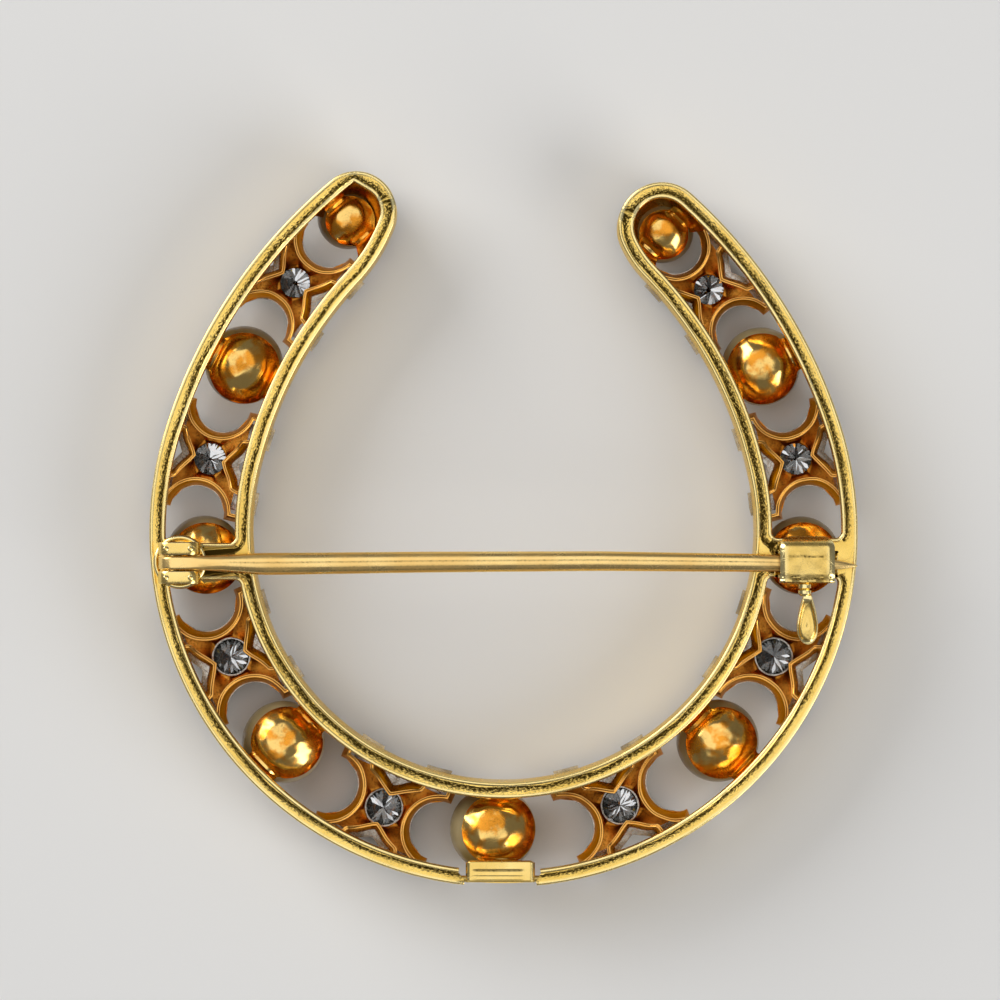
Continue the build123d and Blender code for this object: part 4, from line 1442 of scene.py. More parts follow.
@dataclass
class StarBoxes:
    """Open boxes behind the diamonds: each has two round sides and two V-shaped sides.

    The sides are thin walls that lean outwards to the front and run from wall to wall of the band.
    """

    band: Band
    scales: tuple[float, ...] = (0.88, 0.90, 0.98, 0.98, 0.98, 0.98, 0.90, 0.88)
    arc_centre: float = 3.10
    arc_r: float = 1.80
    notch_depth: float = 0.95
    notch_mouth: float = 1.50
    notch_slope: float = 29.5
    arm_out: float = 2.84
    wall: float = 0.18
    flare: float = 0.26
    depth: float = 1.85
    sag: float = 0.16
    bury: float = 0.10
    floor_reach: float = 1.76
    stone_hole: float = 1.02
    crest_rows: float = 0.3
    sagging_rows: float = 0.7
    low_sag: float = 0.10
    crest_wobble: float = 0.035
    dent: float = 0.02

    def section(self) -> np.ndarray:
        """Section of a wall, as shift outwards, height and edge mask; the mask paints a highlight
        on the crest.

        The shift is the flare times the depth below the crest over the whole depth.
        """
        front, back = self.band.wall_front, self.band.wall_front + self.depth
        levels = np.array([0.0, 0.25, 0.5, 0.75, 0.93])
        lean = self.flare * (1 - levels)
        outer = np.stack([lean, front + levels * self.depth, 0.0 * levels], axis=1)
        inner = (outer - np.array([self.wall, 0.0, 0.0]))[::-1]
        crest = np.array(
            [
                (0.008, back - 0.035, 0.7),
                (-0.012, back - 0.008, 1.0),
                (-0.045, back - 0.004, 0.8),
                (-0.090, back - 0.022, 0.15),
                (-0.135, back - 0.004, 0.8),
                (-self.wall + 0.012, back - 0.008, 1.0),
                (-self.wall - 0.002, back - 0.035, 0.7),
            ]
        )
        return np.concatenate([outer, crest, inner])

    def round_side(self, side: int, grow: float, scale: float, outline: np.ndarray) -> np.ndarray:
        """Path of a round side grown by an amount: a straight run, the round, a straight run."""
        radius, x = self.arc_r - grow, self.arm_out + grow
        shoulder = float(np.sqrt(radius**2 - (self.arc_centre - x) ** 2))
        low, high = self.band.crossings(outline, side * x * scale)
        ends = (high / scale - self.bury, low / scale + self.bury)
        turn = np.arctan2(shoulder, self.arc_centre - x)
        angle = np.linspace(turn, -turn, 26)
        curve = np.stack([self.arc_centre - radius * np.cos(angle), radius * np.sin(angle)], axis=1)
        first = np.stack([np.full(6, x), np.linspace(ends[0], shoulder, 7)[:-1]], axis=1)
        last = np.stack([np.full(6, x), np.linspace(-shoulder, ends[1], 7)[1:]], axis=1)
        path = np.concatenate([first, curve, last]) * np.array([side, 1])
        return path * scale

    def notch_side(self, side: int, grow: float, scale: float, outline: np.ndarray) -> np.ndarray:
        """Path of a V-shaped side grown by an amount: it rises from its vertex to both arms."""
        slope = np.radians(self.notch_slope)
        x = self.notch_mouth - grow
        vertex = self.notch_depth + grow / np.cos(slope)
        found = [
            self.band.crossings(outline, arm * x * scale)[side > 0] / scale * side - self.bury
            for arm in (-1, 1)
        ]
        across = np.linspace(-1, 1, 41)
        rise = vertex + np.abs(across) * x * np.tan(slope)
        rise += 0.10 * np.sin(np.pi * np.abs(across)) ** 2
        lift = np.clip((np.abs(across) - 0.8) / 0.2, 0, 1) ** 2
        ends = np.where(across < 0, found[0], found[1])
        y = rise + lift * (ends - rise)
        reach = x * (np.abs(across) + 0.06 * np.sin(np.pi * np.abs(across))) * np.sign(across)
        return np.stack([reach, side * y], axis=1) * scale

    def walls(self, number: int, place: np.ndarray) -> list[Patch]:
        """The four walls of one star box."""
        out = self.band.outward(place)
        outline = self.band.local_outline(place[:2], out)
        scale = self.scales[number]
        section = self.section()
        back = self.band.wall_front + self.depth
        patches = []
        for side in (1, -1):
            for make in (self.round_side, self.notch_side):
                paths = [make(side, grow, scale, outline)[::side] for grow in section[:, 0]]
                path = np.stack(paths, axis=1)
                hollow = 1 - np.linspace(-1, 1, path.shape[0])[:, None] ** 2
                near_crest = section[:, 1] > back - self.crest_rows
                height = section[:, 1] - self.sag * hollow * near_crest
                height = height - self.low_sag * hollow * (section[:, 1] > back - self.sagging_rows)
                points = np.dstack([put_back(place[:2], out, path), height])
                wobble = soft_noise(points, 1.3, 11 + number)
                points[..., 2] += self.crest_wobble * wobble * near_crest
                points[..., :2] += self.dent * soft_noise(points, 0.9, 31 + number)[..., None]
                # Edge mask: painted highlight along the worn crest.
                patches += capped(points, edge=section[:, 2] * (0.7 + 0.3 * wobble))
        return patches

    def floor(self, number: int, place: np.ndarray) -> Patch:
        """Thin sheet inside a box, with a low collar round the back of its stone, darkened all over
        as painted shade.

        Rows run from the round hole of the stone to the walls, each a share of the way out.
        """
        out = self.band.outward(place)
        outline = self.band.local_outline(place[:2], out)
        scale, grow = self.scales[number], -self.wall / 2 + self.flare * 0.9
        sides = [
            make(side, grow, scale, outline)[::side]
            for side in (1, -1)
            for make in (self.notch_side, self.round_side)
        ]
        loop = np.concatenate(sides)[::-1]
        loop[:, 1] = np.clip(loop[:, 1], -self.floor_reach * scale, self.floor_reach * scale)
        hole = self.stone_hole * scale**2.4 * loop / np.linalg.norm(loop, axis=1, keepdims=True)
        low = self.band.wall_front - 0.01
        shares = (0.0, 0.0, 0.03, 0.10, 0.22, 0.6, 1.0, 1.0)
        rises = (0.0, 0.15, 0.185, 0.17, 0.09, 0.07, 0.10, 0.0)
        plan = np.stack([hole + share * (loop - hole) for share in shares])
        height = low + np.array(rises)[:, None] + 0.0 * plan[..., 0]
        points = np.dstack([put_back(place[:2], out, plan), height])
        points[1:-1, :, 2] += 0.03 * soft_noise(points[1:-1], 0.8, 90 + number)
        # Shade mask: painted shade inside the box.
        return Patch(points, closed_rows=True, closed_columns=True, shade=0.55)

    def build(self, layout: Layout, finishes: Finishes) -> bpy.types.Object:
        """Build all eight boxes as one piece."""
        patches: list[Patch] = []
        for number in range(len(self.scales)):
            place = layout.centre_of(f"diamond_{number + 1}")
            patches += [*self.walls(number, place), self.floor(number, place)]
        return Piece("star_boxes", patches, finishes.inner, nodes=("gallery",)).build(layout)


# Cups behind the pearls


@dataclass
class Cups:
    """Domed cups behind the pearls, each with two necks to the walls of the band."""

    band: Band
    sizes: tuple[float, ...] = (1.24, 1.78, 1.80, 1.80, 1.85, 1.80, 1.80, 1.78, 1.24)
    shifts: tuple[Point, ...] = (
        (0.088, -0.103),
        (0.030, -0.094),
        (0.063, -0.086),
        (0.107, 0.013),
        (0.140, 0.023),
        (0.075, -0.026),
        (0.023, -0.061),
        (0.015, -0.073),
        (0.037, -0.128),
    )
    clearance: float = 0.03
    thickness: float = 0.20
    neck_share: float = 0.50
    neck_bury: float = 0.32
    neck_rise: float = 0.30
    neck_thickness: float = 0.30
    fold_share: float = 0.93
    fold_rise: float = 0.10
    fold_dip: float = 0.07
    least_sheet: float = 0.05
    bail_room: float = -16.79
    skirt_turn: float = 125.0
    skirt_top: float = 3.95
    skirt_sheet: float = 0.12
    skirt_inset: float = 0.34

    def boundary(self, radius: float, reach: Point) -> np.ndarray:
        """Loop round a cup and its necks, with the outward direction turned to +Y.

        Args:
            radius: Radius of the dome.
            reach: How far the necks run inwards and outwards.

        Returns:
            Anticlockwise loop of shape (count, 2).
        """
        half = self.neck_share * radius
        turn = np.degrees(np.arcsin(half / radius)) + 9
        blend = half + 0.10
        runs = []
        for start, length in ((-90 + turn, reach[1]), (90 + turn, reach[0])):
            runs.append(radius * unit(np.radians(np.linspace(start, start + 180 - 2 * turn, 40))))
            side = 1 if start < 0 else -1
            rise = np.linspace(abs(runs[-1][-1, 1]) + 0.06, length, 8)
            y = np.concatenate([rise, np.full(10, length), rise[::-1]])
            end = np.linspace(half, -half, 12)[1:-1]
            x = np.concatenate([[blend], np.full(7, half), end, np.full(7, -half), [-blend]])
            runs.append(side * np.stack([x, y], axis=1))
        return np.concatenate(runs)

    def heights(self, plan: np.ndarray, radius: float, lift: float, floor: float) -> np.ndarray:
        """Height of a sphere about the pearl's centre, but never below the level of the necks.

        The two are joined by a soft maximum: half their sum plus half the root of the squared
        difference and a small constant.
        """
        distance = np.hypot(plan[..., 0], plan[..., 1])
        sphere = np.sqrt(np.clip(radius**2 - distance**2, 0, None))
        soft = 0.0025 if lift else 0.0
        return (sphere + floor + np.sqrt((sphere - floor) ** 2 + soft)) / 2 + lift

    def place(self, number: int, layout: Layout) -> tuple[float, np.ndarray, np.ndarray]:
        """Radius of a cup's pearl, the cup's shift from it, and the cup's centre."""
        node = f"pearl_{number + 1}"
        radius = layout.radius_of(node)
        shift = np.array(self.shifts[number]) * radius
        return radius, shift, layout.centre_of(node)[:2] + shift

    def shell(self, number: int, layout: Layout) -> list[Patch]:
        """One cup as a closed shell: its back, its edge and its front."""
        pearl_r, shift, centre = self.place(number, layout)
        out = self.band.outward(centre)
        inner, outer = self.band.crossings(self.band.local_outline(centre, out), 0.0)
        outer = min(outer, (centre[1] - self.bail_room) / max(-out[1], 0.01) + self.neck_bury)
        loop = self.boundary(self.sizes[number], (-inner - self.neck_bury, outer - self.neck_bury))
        shares = np.concatenate([[0.0], np.sin(np.linspace(0.04, np.pi / 2, 40))])
        plan = shares[:, None, None] * loop[None]
        from_pearl = plan + seen_from(shift, out)
        top_r, under_r = pearl_r + self.clearance + self.thickness, pearl_r + self.clearance
        back = self.heights(from_pearl, top_r, 0.001, self.neck_rise + self.neck_thickness)
        front = self.heights(from_pearl, under_r, 0.0, self.neck_rise)
        back = back - self.dents(plan, self.sizes[number], number)
        back = np.maximum(back, front + self.least_sheet)
        fold = np.abs(plan[..., 1]) - self.sizes[number] * self.fold_share
        neck = np.abs(plan[..., 0]) < self.neck_share * self.sizes[number] + 0.05
        crease = self.fold_rise * bell(fold, 0.0, 0.10) - self.fold_dip * bell(fold, -0.20, 0.09)
        back = back + neck * crease
        # Edge mask: painted highlight on the cup's rounded lip.
        lip = bell(shares[:, None], 0.975, 0.02)
        shade = np.clip(0.25 + 0.8 * soft_noise(plan, 1.6, 70 + number), 0, 1) * 0.5
        world = put_back(centre, out, plan)
        points = np.dstack([world, back + pearl_r])
        top = Patch(points, closed_columns=True, edge=0.7 * lip, shade=shade)
        under = Patch(np.dstack([world, front + pearl_r]), closed_columns=True)
        rim = Patch(np.stack([top.points[-1], under.points[-1]]), closed_columns=True, edge=0.3)
        return [top, under, rim]

    def skirt(self, number: int, layout: Layout) -> list[Patch]:
        """Sloping sheet that closes an arm's tip between its cup and the wall, darkened as painted
        shade.

        Rays run from the cup's edge to the first crossing with the wall, on the side away from the
        nearest star; along each ray the sheet rises from the cup to just under the rim.
        """
        pearl_r, _, centre = self.place(number, layout)
        star = layout.centre_of(f"diamond_{1 if number == 0 else 8}")[:2]
        middle = np.arctan2(*(centre - star)[::-1])
        ray = unit(middle + np.radians(np.linspace(-self.skirt_turn, self.skirt_turn, 90)))
        points, normals = sample_track(self.band.outline(), 0.1)
        wall = points + self.skirt_inset * normals
        wall = np.concatenate([wall, wall[:1]])
        first, step = wall[:-1] - centre, np.diff(wall, axis=0)
        across = ray[:, None, 0] * step[None, :, 1] - ray[:, None, 1] * step[None, :, 0]
        across = np.where(np.abs(across) < 1e-12, 1e-12, across)
        reach = (first[:, 0] * step[:, 1] - first[:, 1] * step[:, 0])[None] / across
        share = (first[None, :, 0] * ray[:, None, 1] - first[None, :, 1] * ray[:, None, 0]) / across
        reach = np.where((share >= 0) & (share <= 1) & (reach > 0), reach, np.inf).min(axis=1)
        near = self.sizes[number] * self.fold_share
        out = np.linspace(0, 1, 9)
        radius = near + out[:, None] * (reach - near)[None]
        base = pearl_r + 0.84
        height = base + (self.skirt_top - base) * out[:, None] ** 1.6 + 0.0 * radius
        plan = centre + radius[..., None] * ray[None]
        top = np.dstack([plan, height])
        top[..., 2] += 0.05 * soft_noise(top, 0.9, 130 + number)
        under = top - np.array([0.0, 0.0, self.skirt_sheet])
        grid = np.concatenate([top, under[::-1]])
        # Painted shade, darker towards the wall.
        shade = np.concatenate([out, out[::-1]])[:, None] * 0.55 + 0.35 + 0.0 * grid[..., 0]
        return [Patch(grid, closed_rows=True, shade=shade), fan(grid[:, 0]), fan(grid[:, -1])]

    def dents(self, plan: np.ndarray, radius: float, number: int) -> np.ndarray:
        """Depth of the dents: a slightly flattened top and soft hammer marks."""
        share = np.hypot(plan[..., 0], plan[..., 1]) / radius
        flat = 0.055 * np.clip(1 - (share / 0.62) ** 2, 0, 1) ** 2
        wide, fine = soft_noise(plan, 1.5, 40 + number), soft_noise(plan, 0.6, 50 + number)
        return flat + (0.045 * (1 + wide) + 0.018 * (1 + fine))

    def build(self, layout: Layout, finishes: Finishes) -> bpy.types.Object:
        """Build all nine cups as one piece."""
        patches: list[Patch] = []
        for number in range(len(self.sizes)):
            patches += self.shell(number, layout)
        patches += [*self.skirt(0, layout), *self.skirt(len(self.sizes) - 1, layout)]
        return Piece("pearl_cups", patches, finishes.cup, nodes=("gallery",)).build(layout)


@dataclass
class Pearls:
    """Nine round pearls."""

    count: int = 9

    def build(self, layout: Layout, finishes: Finishes) -> None:
        """Build each pearl as a sphere on a grid of latitude and longitude."""
        down, turn = np.linspace(0, np.pi, 41)[:, None], full_turn(72)
        ball = np.dstack([np.sin(down)[..., None] * unit(turn), np.cos(down) + 0.0 * turn])
        for number in range(1, self.count + 1):
            node = f"pearl_{number}"
            points = layout.centre_of(node) + layout.radius_of(node) * ball
            patches = [Patch(points, closed_columns=True)]
            pearl = Piece(f"round_{node}", patches, finishes.pearl, slot="pearl", nodes=(node,))
            pearl.build(layout)


# Hinge and brooch pin


@dataclass
class Hinge:
    """Round foot, two ears and a rivet that carry the brooch pin."""

    x: float = -16.50
    y: float = -1.485
    z: float = 6.10
    foot: Triple = (-16.17, -1.45, 1.35)
    foot_levels: Point = (4.72, 5.10)
    ear_x: Point = (-17.19, -15.13)
    ear_top: float = 6.76
    ear_round: float = 0.55
    ear_low: float = 4.80
    near: float = 0.39
    thickness: float = 0.66
    rivet_r: float = 0.25
    head: float = 0.05

    def ears(self) -> list[Patch]:
        """Two ears with round tops and worn bevels."""
        low, high = (self.ear_x[0], self.ear_low), (self.ear_x[1], self.ear_top)
        loop = round_box(low, high, (0.02, 0.02, self.ear_round, self.ear_round))
        patches = []
        for side in (-1, 1):
            ends = sorted((self.y + side * self.near, self.y + side * (self.near + self.thickness)))
            patches += prism(loop, Axis.Y, *ends, bevel=0.09)
        return patches

    def studs(self) -> list[Patch]:
        """Small ring-shaped marks near both ends of each ear's top."""
        top, from_end, radius = self.ear_top, 0.42, 0.15
        # Share, height and edge mask; the mask paints a highlight on the ring's crest.
        rows = [
            (0.0, top - 0.05, 0.0),
            (1.0, top - 0.05, 0.0),
            (0.95, top + 0.012, 1.0),
            (0.75, top + 0.022, 1.0),
            (0.45, top - 0.004, 0.0),
            (0.0, top - 0.006, 0.0),
        ]
        middle = self.near + self.thickness / 2
        return [
            disc_form(ring_about((x, self.y + side * middle), (radius, radius), 24), rows)
            for x in (self.ear_x[0] + from_end, self.ear_x[1] - from_end)
            for side in (-1, 1)
        ]

    def foot_disc(self) -> Patch:
        """Round foot with a rounded edge and a shallow groove inside it."""
        low, high = self.foot_levels
        # Share, height and edge mask; the mask paints a highlight on the rounded edge.
        rows = [
            (0.0, low, 0.0),
            (0.97, low, 0.0),
            (1.0, low + 0.06, 0.0),
            (1.0, high - 0.14, 0.5),
            (0.985, high - 0.06, 1.0),
            (0.95, high - 0.01, 1.0),
            (0.90, high, 0.8),
            (0.84, high - 0.015, 0.4),
            (0.79, high - 0.09, 0.0),
            (0.72, high - 0.10, 0.0),
            (0.66, high - 0.06, 0.1),
            (0.0, high - 0.05, 0.0),
        ]
        return disc_form(ring_about(self.foot[:2], (self.foot[2], self.foot[2]), 72), rows)

    def rivet(self) -> Patch:
        """Cross pin with domed heads, turned about the hinge line."""
        end = self.near + self.thickness
        half = np.array([end, end, end + 0.8 * self.head, end + self.head])
        shares = np.array([0.90, 0.95, 0.6, 0.0])
        along = self.y + np.concatenate([-half[::-1], half])
        radius = np.concatenate([shares[::-1], shares]) * self.rivet_r
        plane = np.array([self.x, self.z]) + radius[:, None, None] * unit(full_turn(32))
        # Edge mask: a faint painted highlight all over the rivet.
        return Patch(Axis.Y.place(plane, along[:, None]), closed_columns=True, edge=0.3)

    def build(self, layout: Layout, finishes: Finishes) -> None:
        """Build the foot with its ears, and the rivet."""
        patches = [*self.ears(), *self.studs(), self.foot_disc()]
        Piece("hinge_ears", patches, finishes.fitting, nodes=("gallery",)).build(layout)
        Piece("domed_rivet", [self.rivet()], finishes.fitting, nodes=("hinge_rivet",)).build(layout)


@dataclass(frozen=True)
class Station:
    """Section of the brooch pin at one place along it."""

    x: float
    y: float
    z: float
    half_width: float
    half_height: float
    square: float


@dataclass
class BroochPin:
    """Tongue round the rivet and the long ridged stem that ends in a point."""

    hinge: Hinge
    stem_z: float = 6.30
    # Painted shade lines along the stem's facets: place across, width and darkness.
    ridge_lines: tuple[Triple, ...] = (
        (0.10, 0.06, 1.0),
        (0.55, 0.05, 0.35),
        (-0.32, 0.05, 0.6),
        (-0.66, 0.05, 0.8),
    )
    tongue_half: float = 0.35
    tongue_r: float = 0.68
    columns: int = 64

    def stations(self) -> list[Station]:
        """Sections from the round end of the tongue to the point of the stem."""
        h, r, half = self.hinge, self.tongue_r, self.tongue_half
        end = unit(np.radians([6, 20, 40, 60, 80, 90])).tolist()
        tongue = [
            *((h.x - r * cos, h.y, h.z, half - 0.05 * cos, r * sin, 1.0) for cos, sin in end),
            (-16.10, h.y, 6.12, 0.35, 0.66, 1.0),
            (-15.60, h.y, 6.22, 0.35, 0.52, 0.9),
            (-15.15, -1.487, 6.29, 0.355, 0.46, 0.6),
        ]
        stem = [
            (-14.60, -1.495, 0.38, 0.45, 0.3),
            (-14.00, -1.502, 0.405, 0.45, 0.1),
            (-13.00, -1.515, 0.48, 0.47, 0.0),
            (-12.10, -1.530, 0.545, 0.48, 0.0),
            (-10.50, -1.520, 0.545, 0.47, 0.0),
            (-4.00, -1.440, 0.52, 0.46, 0.0),
            (4.80, -1.390, 0.49, 0.44, 0.0),
            (12.60, -1.480, 0.45, 0.42, 0.0),
            (15.40, -1.540, 0.34, 0.33, 0.0),
            (16.60, -1.580, 0.25, 0.25, 0.0),
            (17.30, -1.612, 0.12, 0.12, 0.0),
            (17.60, -1.630, 0.03, 0.03, 0.0),
        ]
        rows = [*tongue, *((x, y, self.stem_z, *rest) for x, y, *rest in stem)]
        return [Station(*row) for row in rows]

    def surface(self) -> list[Patch]:
        """Loft through the stations.

        Across the pin a section runs from a rounded box in the tongue to a low ridge in the stem:
        its outline is the pair of signed powers of cosine and sine, whose power mixes the two.
        """
        found = self.stations()
        knots = np.array([s.x for s in found])
        x = np.concatenate([knots[:8], np.linspace(knots[7], knots[-1], 260)[1:]])
        y, z, width, height, square = (
            self.smooth(np.interp(x, knots, [getattr(station, name) for station in found]))[:, None]
            for name in ("y", "z", "half_width", "half_height", "square")
        )
        cos, sin = unit(full_turn(self.columns)).T
        stem = 1 - square
        u = square * self.power(cos, 0.28) + stem * self.power(cos, 0.85)
        v = square * self.power(sin, 0.28) + stem * self.power(sin, 0.75)
        points = np.dstack([x[:, None] + 0.0 * u, y + width * u, z + height * v])
        # Edge mask: painted highlight along both sides of the pin.
        edge = 0.25 * bell(np.abs(u), 0.95, 0.06)
        on_back = (sin > 0) * stem
        # Painted shade lines on the back of the stem.
        ridge_shade = (depth * bell(u, place, wide) * on_back for place, wide, depth in self.ridge_lines)
        return capped(points, edge=edge, shade=np.clip(sum(ridge_shade), 0, 1))

    @staticmethod
    def power(value: np.ndarray, exponent: float) -> np.ndarray:
        """Signed power."""
        return np.sign(value) * np.abs(value) ** exponent

    @staticmethod
    def smooth(values: np.ndarray) -> np.ndarray:
        """Running mean over five places, with both ends kept."""
        mean = np.convolve(np.pad(values, 2, mode="edge"), np.full(5, 0.2), mode="valid")
        mean[:9] = values[:9]
        mean[-3:] = values[-3:]
        return mean

    def build(self, layout: Layout, finishes: Finishes) -> bpy.types.Object:
        """Build the pin with its tongue as one piece."""
        return Piece(
            "ridged_pin",
            self.surface(),
            finishes.pin,
            body="pin",
            slot="pin_gold",
            nodes=("pin_stem",),
            sharp_angle=50,
        ).build(layout)


# Safety catch


@dataclass
class Catch:
    """Trough on the cross bar, and the rolling cover with its lever."""

    y: float = -1.540
    z: float = 6.30
    cover_x: Point = (13.73, 16.44)
    cheek: float = 0.20
    end_gap: float = 0.03
    cheek_half: float = 0.66
    trough_r: float = 0.54
    trough_wall: float = 0.12
    clearance: float = 0.04
    foot: float = 4.82
    cover_r: float = 1.385
    cushion: float = 14.0
    cover_top: float = 1.02
    cover_lip: float = 0.93
    cover_start: float = -20.0
    cover_corner: float = 0.55
    cover_worn: Point = (0.13, 0.30)
    cover_sag: float = 0.04
    cover_sheet: float = 0.10
    cover_side: float = 0.3
    dash: tuple[float, ...] = (15.0, 0.85, 0.39, 0.030)
    neck_x: float = 14.985
    bead_places: tuple[float, ...] = (-0.10, 0.02, 0.07, 0.26, 0.29, 0.33, 0.38, 0.55, 0.62, 0.72)
    bead_halves: tuple[float, ...] = (0.20, 0.24, 0.31, 0.31, 0.23, 0.25, 0.33, 0.32, 0.24, 0.20)
    leaf_x: float = 15.11
    leaf_start: float = -3.06
    leaf_end: float = -5.55
    leaf_half: float = 0.53
    leaf_thickness: float = 0.34

    def arc(self, radius: float, start: float, end: float, count: int) -> np.ndarray:
        """Points (y, z) on a circle about the pin's line, between two angles in degrees."""
        angle = np.radians(np.linspace(start, end, count))
        return np.array([self.y, self.z]) + radius * unit(angle)

    def cradle(self) -> list[Patch]:
        """Half tube under the pin, between two cheeks."""
        low = self.cover_x[0] - self.end_gap - self.cheek
        high = self.cover_x[1] + self.end_gap + self.cheek
        outer_r = self.trough_r + self.trough_wall
        inner = self.arc(self.trough_r, 360, 180, 41)
        patches = channel(self.arc(outer_r, 360, 180, 41), inner, Axis.X, low, high, 0.03)
        down, half = self.z - self.foot, self.cheek_half
        side = np.linspace(0, 1, 12)[:-1]
        y = np.concatenate([np.full(11, half), np.linspace(half, -half, 19), np.full(11, -half)])
        z = -down * np.concatenate([side, np.ones(19), side[::-1]])
        outer = np.stack([y, z], axis=1) + np.array([self.y, self.z])
        for start in (low, high - self.cheek):
            patches += channel(outer, inner, Axis.X, start, start + self.cheek, 0.04)
        return patches

    def cover(self) -> list[Patch]:
        """Cover over the pin: a round shell with a flat top, a straight lip and two round corners.

        At each place along the pin the shell's outer curve is the circle cut off at the top and
        at the lip; the cut is softened by adding both as high negative powers. Near both ends
        the curve is held back to the round corners, and a soft cushion is taken off its height.
        """
        inner_r = self.trough_r + self.trough_wall + self.clearance
        ray = unit(np.radians(np.linspace(self.cover_start, 180, 72)))
        limit_top = self.cover_top / np.maximum(ray[:, 1], 1e-6)
        limit_lip = self.cover_lip / np.maximum(-ray[:, 0], 1e-6)
        limit_top[ray[:, 1] <= 0] = 10 * self.cover_r
        full = np.minimum(self.cover_r, limit_lip)
        reach = (full**-self.cushion + limit_top**-self.cushion) ** (-1 / self.cushion)
        outer = reach[:, None] * ray
        inner = inner_r * ray
        length = self.cover_x[1] - self.cover_x[0]
        along = length * (0.5 - 0.5 * np.cos(np.pi * np.linspace(0, 1, 49)))
        from_end = np.minimum(along, length - along)[:, None]
        round_r = self.cover_corner
        into_corner = np.clip(round_r - from_end, 0, None)
        corner = round_r - np.sqrt(np.clip(round_r**2 - into_corner**2, 0, None))
        worn = self.cover_worn[0] * np.clip(1 - from_end / self.cover_worn[1], 0, 1) ** 1.5
        on_top, above = outer[:, 1] > self.cover_top - 0.02, outer[:, 1] > self.cover_side
        limit = self.cover_r - corner
        y = np.minimum(outer[:, 0], limit)
        z = outer[:, 1] - worn * (outer[:, 1] > 0.2)
        z = z - self.cover_sag * (y / self.cover_r) ** 2 * on_top
        x = self.cover_x[0] + along[:, None] + 0.0 * y
        wave = 0.030 * np.sin(x * 5.2) + 0.014 * np.sin(x * 11.0 + 1.0)
        from_lip = y + (self.cover_lip - 0.20 + wave)
        groove = 0.060 * bell(from_lip, 0.0, 0.040) + 0.04 * bell(from_lip, 0.13, 0.03)
        dash_x, dash_half, dash_y, dash_width = self.dash
        dash = 0.030 * bell(y - dash_y, 0.3 * wave, dash_width) * (np.abs(x - dash_x) < dash_half)
        z = z - (groove + dash) * above
        dull = 0.35 * np.clip(0.5 + soft_noise(np.dstack([x, y]), 0.7, 61), 0, 1)
        # Painted shade in the groove and the dash, with random dull patches; painted highlight
        # towards the round ends.
        shade = groove / 0.04 + dash / 0.025 + dull * np.clip(from_end / 0.3 - 0.6, 0, 1)
        edge = np.clip(1.3 - from_end / 0.34, 0, 1) * above
        outside = np.dstack([x, self.y + y, self.z + z])
        inner_y = np.minimum(inner[:, 0], limit - self.cover_sheet)
        inner_z = np.minimum(inner[:, 1], z - self.cover_sheet * (inner[:, 1] > self.cover_side))
        inside = np.dstack([x, self.y + inner_y, self.z + inner_z])
        top = Patch(outside, edge=edge, shade=np.clip(shade, 0, 1))
        rims = [Patch(np.stack([outside[:, i], inside[:, i]])) for i in (0, -1)]
        ends = [Patch(np.stack([outside[i], inside[i]]), edge=0.7) for i in (0, -1)]
        return [top, Patch(inside), *rims, *ends]

    def neck(self) -> list[Patch]:
        """Neck with two beads: an oval whose half width follows the distance below the lip."""
        y = np.linspace(self.y - self.cover_lip + 0.10, self.leaf_start - 0.08, 70)
        below = (self.y - self.cover_lip) - y
        half = np.interp(below, self.bead_places, self.bead_halves)[:, None]
        cos, sin = unit(full_turn(28)).T
        lift, flatness, bead_from = 0.18, 0.72, 0.28
        x, z = self.neck_x + half * cos, self.z + lift + flatness * half * sin
        # Edge mask: painted highlight on the beads.
        return capped(np.dstack([x, y[:, None] + 0.0 * x, z]), edge=0.8 * (half > bead_from))

    def leaf(self) -> Patch:
        """Leaf with a raised rim round a dish, and a fine line down its middle."""
        share = np.sin(np.linspace(0, np.pi / 2, 48))
        y = self.leaf_start + share * (self.leaf_end - self.leaf_start)
        swell = np.interp(share, (0.0, 0.06, 0.2, 0.4, 0.6), (0.40, 0.46, 0.66, 0.87, 1.0))
        fall = np.clip(1 - np.clip((share - 0.6) / 0.4, 0, None) ** 3.0, 0, None) ** 0.55
        half = self.leaf_half * swell * fall
        half[-1] = 0.0
        left, right = (np.stack([self.leaf_x + side * half, y], axis=1) for side in (-1, 1))
        loop = np.concatenate([left, right[::-1][1:]])
        low, high = self.z, self.z + self.leaf_thickness
        # Share, height and edge mask; the mask paints a highlight on the raised rim.
        rows = [
            (0.0, low, 0.0),
            (0.86, low, 0.0),
            (0.97, low + 0.05, 0.0),
            (1.0, low + 0.13, 0.0),
            (1.0, high - 0.12, 0.5),
            (0.97, high - 0.03, 1.0),
            (0.92, high, 1.0),
            (0.84, high - 0.015, 0.8),
            (0.76, high - 0.10, 0.1),
            (0.66, high - 0.15, 0.0),
            (0.50, high - 0.165, 0.0),
            (0.30, high - 0.15, 0.0),
            (0.15, high - 0.14, 0.2),
            (0.05, high - 0.16, 0.0),
            (0.0, high - 0.165, 0.0),
        ]
        patch = disc_form(loop, rows)
        # Painted shade in the dish towards both ends.
        in_dish = np.array([row[0] < 0.8 for row in rows])[:, None]
        late = np.clip((self.leaf_end + 0.75 - patch.points[..., 1]) / 0.5, 0, 1)
        early = np.clip((patch.points[..., 1] - self.leaf_start + 0.85) / 0.4, 0, 1)
        on_back = patch.points[..., 2] > high - 0.2
        patch.shade = 0.75 * np.maximum(late, early) * in_dish * on_back
        return patch

